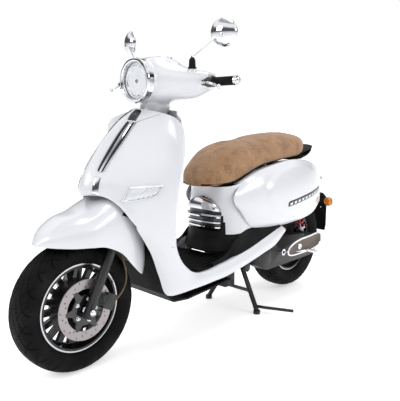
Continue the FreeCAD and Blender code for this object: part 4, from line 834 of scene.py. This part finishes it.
lathe(carrier, ((DISC_IN - 3, 26), (DISC_OUT + 1, 26), (DISC_OUT + 1.5, 30), (DISC_OUT + 1, 52), (DISC_OUT, 56),
                (DISC_IN - 1, 56), (DISC_IN - 3, 26)), Vector((0, HUB.y, HUB.z)), (1, 0, 0), 72, 0)
for arm in range(6):
    angle = (arm + 0.5) / 6 * math.tau
    out = Vector((0, math.sin(angle), math.cos(angle)))
    sweep = Vector((0, math.cos(angle), -math.sin(angle)))
    block = bmesh.ops.create_cube(carrier, size=1)["verts"]
    for vert in block:
        share = vert.co.x + 0.5
        wide = 0.03 * (1 - share) + 0.013 * share
        reach = 0.05 + 0.031 * share
        deep = (DISC_IN - 0.8 + (DISC_OUT - DISC_IN + 1.6) * (vert.co.z + 0.5)) / 1000
        vert.co = Vector((deep, HUB.y, HUB.z)) + out * reach + sweep * (vert.co.y * wide)
for bolt in range(5):
    angle = (bolt + 0.25) / 5 * math.tau
    spot = Vector(((DISC_OUT + 1) / 1000, HUB.y + 0.04 * math.sin(angle), HUB.z + 0.04 * math.cos(angle)))
    lathe(carrier, ((0, 8), (1.2, 8), (1.4, 6.5), (5.4, 6.2), (6, 5), (6, 2.6), (3.6, 2.4), (3.6, 0)), spot, (1, 0, 0), 12, 1)
carrier = finished("disc_carrier", carrier, "front_wheel", gloss_black, bright_steel)
rounded(carrier, 0.0006)

# ---------------------------------------------------------------- floor and mat
# Moulded black floor with a grained mat; its ribs and the bead round it are raised.
refined("floor_board", moulded)
FLOOR_LINE = [Vector((0, y, z)) for y, z in ((430, 303), (500, 294), (560, 296), (620, 300), (668, 306))]
mat = bmesh.new()


def bead(mesh, points, radius, sides=8, finish=0):
    """A round bead along a line of places, its ends closed."""
    rings = []
    for number, spot in enumerate(points):
        ahead = (points[min(number + 1, len(points) - 1)] - points[max(number - 1, 0)]).normalized()
        side_way = ahead.cross(Vector((0, 0, 1)))
        side_way = side_way.normalized() if side_way.length > 0.01 else Vector((1, 0, 0))
        up_way = side_way.cross(ahead).normalized()
        rings.append([mesh.verts.new(spot + (side_way * math.cos(step / sides * math.tau)
                                             + up_way * math.sin(step / sides * math.tau)) * radius)
                      for step in range(sides)])
    loops = [[mesh.edges.new((ring[step], ring[(step + 1) % sides])) for step in range(sides)] for ring in rings]
    for first, second in zip(loops, loops[1:]):
        for face in bmesh.ops.bridge_loops(mesh, edges=first + second)["faces"]:
            face.material_index = finish
    for ring in (rings[0], rings[-1]):
        mesh.faces.new(ring).material_index = finish
    return mesh


def on_floor(x, share, lift=0.0):
    spot = through(FLOOR_LINE, share)
    return at(x, spot.y, spot.z + lift)


for rib in range(-5, 6):
    start, reach = 0.06 + 0.02 * abs(rib), 0.88 - 0.03 * abs(rib)
    bead(mat, [on_floor(rib * 26, start + step / 24 * reach) for step in range(25)], 0.003, 6)
outline = []
for step in range(49):
    angle = step / 48 * math.tau
    outline.append(on_floor(158 * eased(math.cos(angle), 0.5), 0.5 + 0.49 * eased(math.sin(angle), 0.5)))
bead(mat, outline[:-1], 0.0035, 6)
mat = finished("floor_mat_ribs", mat, "chassis", moulded)

# Its sides climb from the rails to the column's foot and the cowls.
OUTER = [(201, 500, 297), (201, 560, 305), (200, 621, 312), (200, 752, 337), (198, 852, 362), (194, 951, 386),
         (184, 1024, 396)]
INNER = [(168, 560, 300), (166, 600, 304), (160, 660, 318), (162, 760, 400), (166, 860, 416), (170, 950, 408),
         (174, 1016, 404)]
ramps = bmesh.new()
for side in (-1, 1):
    rows = []
    for outer, inner in zip(OUTER, INNER):
        outer, inner = Vector(outer), Vector(inner)
        sag = Vector((0, 0, -6))
        rows.append(row([outer - Vector((2, 0, 4)), outer.lerp(inner, 0.35) + sag, outer.lerp(inner, 0.7) + sag, inner,
                         inner + Vector((-14, 0, 10))], side))
    panel(rows, 12, 48, ramps)
ramps = finished("footwell_sides", ramps, "chassis", moulded)
walled(ramps, 0.0025)

# ---------------------------------------------------------------- seat column and grille
# The white arch under the seat's nose, moulded round a plated three-tier grille, over a
# black foot that sweeps out onto the floor.
COLUMN = [
    [(0, 676, 604), (50, 680, 604), (90, 694, 606), (122, 722, 610), (138, 752, 618)],
    [(0, 679, 575), (50, 683, 575), (91, 697, 576), (123, 725, 577), (139, 756, 578)],
    [(0, 674, 520), (50, 677, 520), (92, 692, 520), (126, 722, 520), (142, 760, 520)],
    [(0, 672, 440), (52, 676, 440), (96, 692, 440), (132, 722, 440), (150, 758, 440)],
    [(0, 668, 380), (54, 672, 380), (98, 690, 380), (136, 720, 382), (156, 756, 386)],
    [(0, 640, 322), (56, 646, 322), (102, 668, 326), (142, 706, 332), (164, 750, 340)]]
COLUMN_BACK = ((4, 30, 0), (8, 70, 0))
column = panel([whole(rolled(points, COLUMN_BACK)) for points in COLUMN], 72, 60)
for face in column.faces:
    middle = face.calc_center_median()
    opening = 0.112 * math.sqrt(max(0.0, 1 - ((middle.z - 0.40) / 0.158) ** 2))
    if middle.z < 0.40 or abs(middle.x) < opening:
        face.material_index = 1
column = finished("column", column, "chassis", white_paint, moulded)
walled(column, 0.003)
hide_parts("seat_column")

GRILLE = [
    [(0, 662, 556), (30, 664, 553), (56, 672, 544), (70, 684, 530)],
    [(0, 652, 520), (46, 656, 518), (78, 672, 512), (92, 694, 508)],
    [(0, 648, 470), (50, 653, 470), (84, 671, 468), (97, 694, 466)],
    [(0, 652, 414), (46, 657, 414), (82, 676, 412), (95, 698, 412)]]
GRILLE_ROWS = [whole(points) for points in GRILLE]
TIERS = ((0.0, 0, 2), (0.03, 0, 9), (0.14, 0, 14), (0.3, 0, 16), (0.42, 0, 13), (0.44, 1, 1), (0.53, 1, 1), (0.55, 0, 12),
         (0.60, 0, 14), (0.64, 0, 12), (0.66, 1, 1), (0.74, 1, 1), (0.755, 0, 9), (0.79, 0, 10), (0.805, 1, 1),
         (0.87, 1, 1), (0.885, 0, 8), (0.915, 0, 8), (0.93, 1, 1), (1.0, 1, 0))
grille = bmesh.new()
bmesh.ops.create_grid(grille, x_segments=48, y_segments=len(TIERS) - 1, size=1)
for face in grille.faces:
    tier = TIERS[int((1 - face.calc_center_median().y) / 2 * (len(TIERS) - 1))]
    face.material_index = tier[1]
for vert in grille.verts:
    u, tier = (vert.co.x + 1) / 2, TIERS[round((1 - vert.co.y) / 2 * (len(TIERS) - 1))]
    here = skin(GRILLE_ROWS, u, tier[0])
    across = (skin(GRILLE_ROWS, min(u + 0.02, 1), tier[0]) - skin(GRILLE_ROWS, max(u - 0.02, 0), tier[0]))
    out = Vector((across.y, -across.x, 0)).normalized()
    fade = min(1.0, 10 * min(u, 1 - u))
    vert.co = here + out * (tier[2] * fade - 3) / 1000
grille = finished("column_grille_tiers", grille, "chassis", chrome, gloss_black)
walled(grille, 0.0025)
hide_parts("column_grille")

# ---------------------------------------------------------------- side cowls
# Egg-shaped white cowls over the engine bay, with a stepped flange in front and a raised
# inner bulge; a black slot near the top holds ten small bright squares.
COWL = ((742, 500, 618, 152, 2), (790, 432, 640, 164, 14), (880, 412, 668, 172, 34), (1000, 402, 688, 174, 44),
        (1120, 402, 700, 172, 46), (1240, 408, 692, 166, 38), (1340, 424, 666, 156, 22), (1412, 470, 610, 146, 4))
EGG = Vector((1135, 556))                            # the middle of the raised bulge
VENT_START, VENT_LENGTH, VENT_LOW, VENT_CLIMB = 1020, 358, 504, 40


def cowl_row(y, low, high, base, bulge):
    """A section of a cowl; the front ones bow forwards, so that its leading edge is rounded."""
    points, bow = [], 46 * max(0.0, (900 - y) / 158)
    for share in (0, 0.06, 0.15, 0.28, 0.42, 0.58, 0.72, 0.85, 0.94, 1):
        points.append((base + bulge * math.sin(math.pi * share) ** 0.7 - 12 * share,
                       y + bow * (0.35 - math.sin(math.pi * min(share * 1.1, 1)) ** 0.8), low + (high - low) * share))
    x, y, z = points[0]
    top = points[-1]
    lip = [(top[0] - 12, top[1], top[2] + 1), (top[0] - 34, top[1], top[2] - 2)]
    return [(x - 14, y, z + 1), (x - 5, y, z - 2)] + points + lip


def cowl_place(side, u, v, lift=0.0):
    spot = skin(COWL_ROWS[side], u, v)
    y, z = (spot.y - AXLE.y) * 1000, spot.z * 1000
    from_egg = math.hypot((y - EGG.x) / 268, (z - EGG.y) / 132)
    step = max(0.0, min(1.0, (1.0 - from_egg) / 0.16))
    return spot + Vector((side * (lift + 5.5 * step * step * (3 - 2 * step) - 4) / 1000, 0, 0))


COWL_ROWS = {side: [row(cowl_row(*station), side) for station in COWL] for side in (-1, 1)}
for side, node in ((1, "left_side_cowl"), (-1, "right_side_cowl")):
    cowl = bmesh.new()
    bmesh.ops.create_grid(cowl, x_segments=72, y_segments=130, size=1)
    for vert in cowl.verts:
        vert.co = cowl_place(side, (vert.co.x + 1) / 2, (1 - vert.co.y) / 2)
    cowl = finished(node + "_shell", cowl, "chassis", white_paint)
    walled(cowl, 0.003)
    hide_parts(node)

    def on_cowl(y, z, lift):
        """A place on the cowl's skin at a y and z, found by halving both shares."""
        v = u = 0.5
        for _ in range(6):
            for name in ("v", "u"):
                low, high = 0.0, 1.0
                for _ in range(14):
                    middle = (low + high) / 2
                    spot = cowl_place(side, u, middle) if name == "v" else cowl_place(side, middle, v)
                    if name == "v":
                        below = (spot.y - AXLE.y) * 1000 < y
                    else:
                        below = spot.z * 1000 < z or middle < 0.1
                    low, high = (middle, high) if below else (low, middle)
                if name == "v":
                    v = low
                else:
                    u = low
        return cowl_place(side, u, v, lift)

    vent = bmesh.new()
    bmesh.ops.create_grid(vent, x_segments=60, y_segments=6, size=1)
    for vert in vent.verts:
        share, rise = (vert.co.x + 1) / 2, vert.co.y
        end = max(0.0, 1 - min(share, 1 - share) / 0.04)
        half = 16 * math.sqrt(max(1 - end * end, 0.05))
        vert.co = on_cowl(VENT_START + VENT_LENGTH * share, VENT_LOW + VENT_CLIMB * share + rise * half,
                          1.6 - 3 * abs(rise) ** 6 - 2.5 * (end > 0.95))
    for number in range(10):
        tile = bmesh.new()
        bmesh.ops.create_grid(tile, x_segments=4, y_segments=4, size=1)
        for vert in tile.verts:
            share = 0.075 + number * 0.094 + vert.co.x * 0.026
            edge = max(abs(vert.co.x), abs(vert.co.y))
            vert.co = on_cowl(VENT_START + VENT_LENGTH * share, VENT_LOW + VENT_CLIMB * share + vert.co.y * 7.5,
                              3.6 if edge < 0.9 else 1.2)
        for face in tile.faces:
            face.material_index = 1
        poured(tile, vent)
    vent = finished(node + "_vent", vent, "chassis", gloss_black, bright_steel)

# ---------------------------------------------------------------- seat cushion
# Foam under one stretched suede-like cover, mottled tan and brown, drawn in along its lower
# edge over the seat's stiff base.
SEAT = ((606, 50, 606, 640), (640, 98, 606, 690), (690, 122, 610, 730), (745, 135, 618, 770), (808, 141, 640, 788),
        (900, 144, 672, 789), (960, 145, 684, 795), (1021, 145, 690, 807), (1120, 143, 697, 816),
        (1236, 135, 706, 821), (1290, 114, 713, 817), (1332, 90, 720, 804), (1370, 62, 729, 782), (1394, 40, 738, 766))
suede = Finish("tan_suede", (0.30, 0.165, 0.078), 0.86, Sheen_Weight=0.2, Sheen_Roughness=0.5)
suede.tint(suede.noise(16, 5, 0.6).between(0.42, 0.66), (0.215, 0.112, 0.05))
suede.tint(suede.noise(70, 4, 0.65).between(0.5, 0.72) * 0.75, (0.37, 0.225, 0.12))
suede.feed("Roughness", 0.78 + suede.noise(40, 3) * 0.16)
suede.bump(suede.noise(260, 4), 0.0009, 0.5)
suede.bump(suede.cells(900), 0.0003, 0.35)
SWELL = 7


def cushion_ring(y, half, low, high, shrink):
    """A cross-section of the cushion: crowned on top, upright and nearly square at its lower edge."""
    half, centre, tall = max(half - shrink, 8), (low + high) / 2, max((high - low - shrink) / 2, 6)
    ring = []
    for step in range(41):
        angle = step / 40 * math.tau
        power = 2 / (7.0 if math.sin(angle) < 0 else 2.5)
        ring.append(at(half * eased(math.cos(angle), power), y, centre + tall * eased(math.sin(angle), power)))
    return ring


rings = [cushion_ring(*station, SWELL) for station in SEAT]
first = cushion_ring(SEAT[0][0] - 4, 26, SEAT[0][2] + 3, SEAT[0][3] - 12, 0)
cushion = capped(panel([first] + rings, 56, 90))
cushion = finished("seat_cover", cushion, "seat", suede)
fused(cushion, 0.006, 6)
at_start = [vert.co.copy() for vert in cushion.data.vertices]
held = cushion.vertex_groups.new(name="held")
for vert in cushion.data.vertices:
    y = (vert.co.y - AXLE.y) * 1000
    near = min(range(len(SEAT) - 1), key=lambda n: abs((SEAT[n][0] + SEAT[n + 1][0]) / 2 - y))
    behind, ahead = SEAT[near], SEAT[near + 1]
    share = min(max((y - behind[0]) / (ahead[0] - behind[0]), 0), 1)
    if vert.co.z * 1000 < behind[2] + (ahead[2] - behind[2]) * share + 16:
        held.add([vert.index], 1.0, "REPLACE")
cloth = cushion.modifiers.new("cloth", "CLOTH")
cloth.settings.quality = 6
cloth.settings.use_pressure = True
cloth.settings.uniform_pressure_force = 4
cloth.settings.effector_weights.gravity = 0
cloth.settings.vertex_group_mass = "held"
cloth.settings.tension_stiffness = 25
cloth.settings.compression_stiffness = 25
cloth.settings.bending_stiffness = 1.5
for number in range(1, 21):
    scene.frame_set(number)
settled(cushion).vertex_groups.clear()
scene.frame_set(1)
for vert, start in zip(cushion.data.vertices, at_start):
    move = vert.co - start
    if move.length > 0.009:
        vert.co = start + move.normalized() * 0.009
cushion.data.materials.clear()
cushion.data.materials.append(suede.material)
cushion.data.shade_smooth()
finer = cushion.modifiers.new("finer", "SUBSURF")
finer.levels = finer.render_levels = 1
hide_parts("seat_cushion")

# ---------------------------------------------------------------- rear carrier
# A cast grab handle under the seat's tail: white wedges below, a black pad with a plated edge.
HANDLE = ((1244, 128, 690, 704), (1290, 120, 684, 711), (1340, 108, 690, 719), (1390, 92, 702, 732),
          (1430, 71, 714, 744), (1470, 46, 725, 751), (1496, 28, 734, 752), (1504, 14, 738, 751))


def handle_ring(y, half, low, high):
    """A section of the handle: a slanting wedge with a flat top."""
    ring = [(0, high), (0.6, high), (0.93, high - 1), (1, high - 4), (0.98, high - 8), (0.86, high * 0.55 + low * 0.45),
            (0.6, low + 3), (0.3, low), (0, low)]
    return [at(half * share, y, z) for share, z in ring + [(-share, z) for share, z in ring[-2::-1]]]


handle = capped(panel([handle_ring(*station) for station in HANDLE], 48, 60))
for face in handle.faces:
    y = (face.calc_center_median().y - AXLE.y) * 1000
    near = min(range(len(HANDLE) - 1), key=lambda n: abs((HANDLE[n][0] + HANDLE[n + 1][0]) / 2 - y))
    share = (y - HANDLE[near][0]) / (HANDLE[near + 1][0] - HANDLE[near][0])
    top = HANDLE[near][3] + (HANDLE[near + 1][3] - HANDLE[near][3]) * share
    under = top - face.calc_center_median().z * 1000
    face.material_index = 1 if under < 9 else 0
    if under < 5 and y > 1478:
        face.material_index = 2
handle = finished("carrier_handle", handle, "chassis", white_paint, satin_black, chrome)
rounded(handle, 0.002, 2, 60)
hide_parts("rear_carrier")

# ---------------------------------------------------------------- tail lamp and rear signals
# A small ruby lamp in the tail and two amber signals on black stalks, in moulded bodies.
refined("tail_light", ruby)
signals = bmesh.new()
for side in (-1, 1):
    spot = at(side * 122, 1537, 448)
    lathe(signals, ((-15, 0), (-14.5, 9), (-12, 17), (-8, 22), (-4, 24)), spot, (0, 1, 0), 40, 1)
    lathe(signals, ((-4, 24), (-3, 25), (3, 25), (4, 24)), spot, (0, 1, 0), 40, 0)
    lathe(signals, ((4, 24), (8, 22), (12, 17), (14.5, 9), (15, 0)), spot, (0, 1, 0), 40, 1)
    lathe(signals, ((30, 0), (30, 11), (44, 9), (70, 7.5), (99, 7)), at(0, 1537, 448), (side, 0, 0), 24, 0)
signals = finished("rear_signals", signals, "chassis", moulded, amber)
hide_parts("rear_turn_signals")

# ---------------------------------------------------------------- drive case trim
# A dark bronze plate with a bright rim screwed over the drive case, with a blank round badge.
bronze = Finish("dark_bronze", (0.11, 0.085, 0.065), 0.32, 0.7)
bronze.tint(bronze.noise(14, 4).between(0.4, 0.75), (0.075, 0.062, 0.052))
bronze.feed("Roughness", 0.26 + bronze.noise(90, 3) * 0.12)
CASE_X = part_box("drive_case")[1].x * 1000
plate = bmesh.new()


def plate_outline(grow, steps=72):
    points = []
    for step in range(steps):
        angle = step / steps * math.tau
        share = (math.cos(angle) + 1) / 2
        half = 30 + 16 * share + grow
        points.append(Vector((1232 + (150 + grow) * eased(math.cos(angle), 0.55),
                              260 + 26 * share + half * eased(math.sin(angle), 0.7))))
    return points


levels = ((2, -4), (2, 0.5), (0, 2.5), (-5, 2.8), (-6.5, 1.4), (-7, 1.2))
loops = []
for grow, lift in levels:
    ring = [plate.verts.new(at(CASE_X + lift, spot.x, spot.y)) for spot in plate_outline(grow)]
    loops.append([plate.edges.new((ring[step], ring[(step + 1) % len(ring)])) for step in range(len(ring))])
for number, (first, second) in enumerate(zip(loops, loops[1:])):
    for face in bmesh.ops.bridge_loops(plate, edges=first + second)["faces"]:
        face.material_index = 1 if number < 4 else 0
for face in bmesh.ops.holes_fill(plate, edges=loops[-1], sides=0)["faces"]:
    face.material_index = 0
lathe(plate, ((0, 15), (3.5, 15), (4.5, 13.5), (4.2, 12), (4.6, 9), (5, 0)), at(CASE_X, 1180, 272), (1, 0, 0), 40, 1)
plate = finished("drive_trim", plate, "engine_unit", bronze, bright_steel)
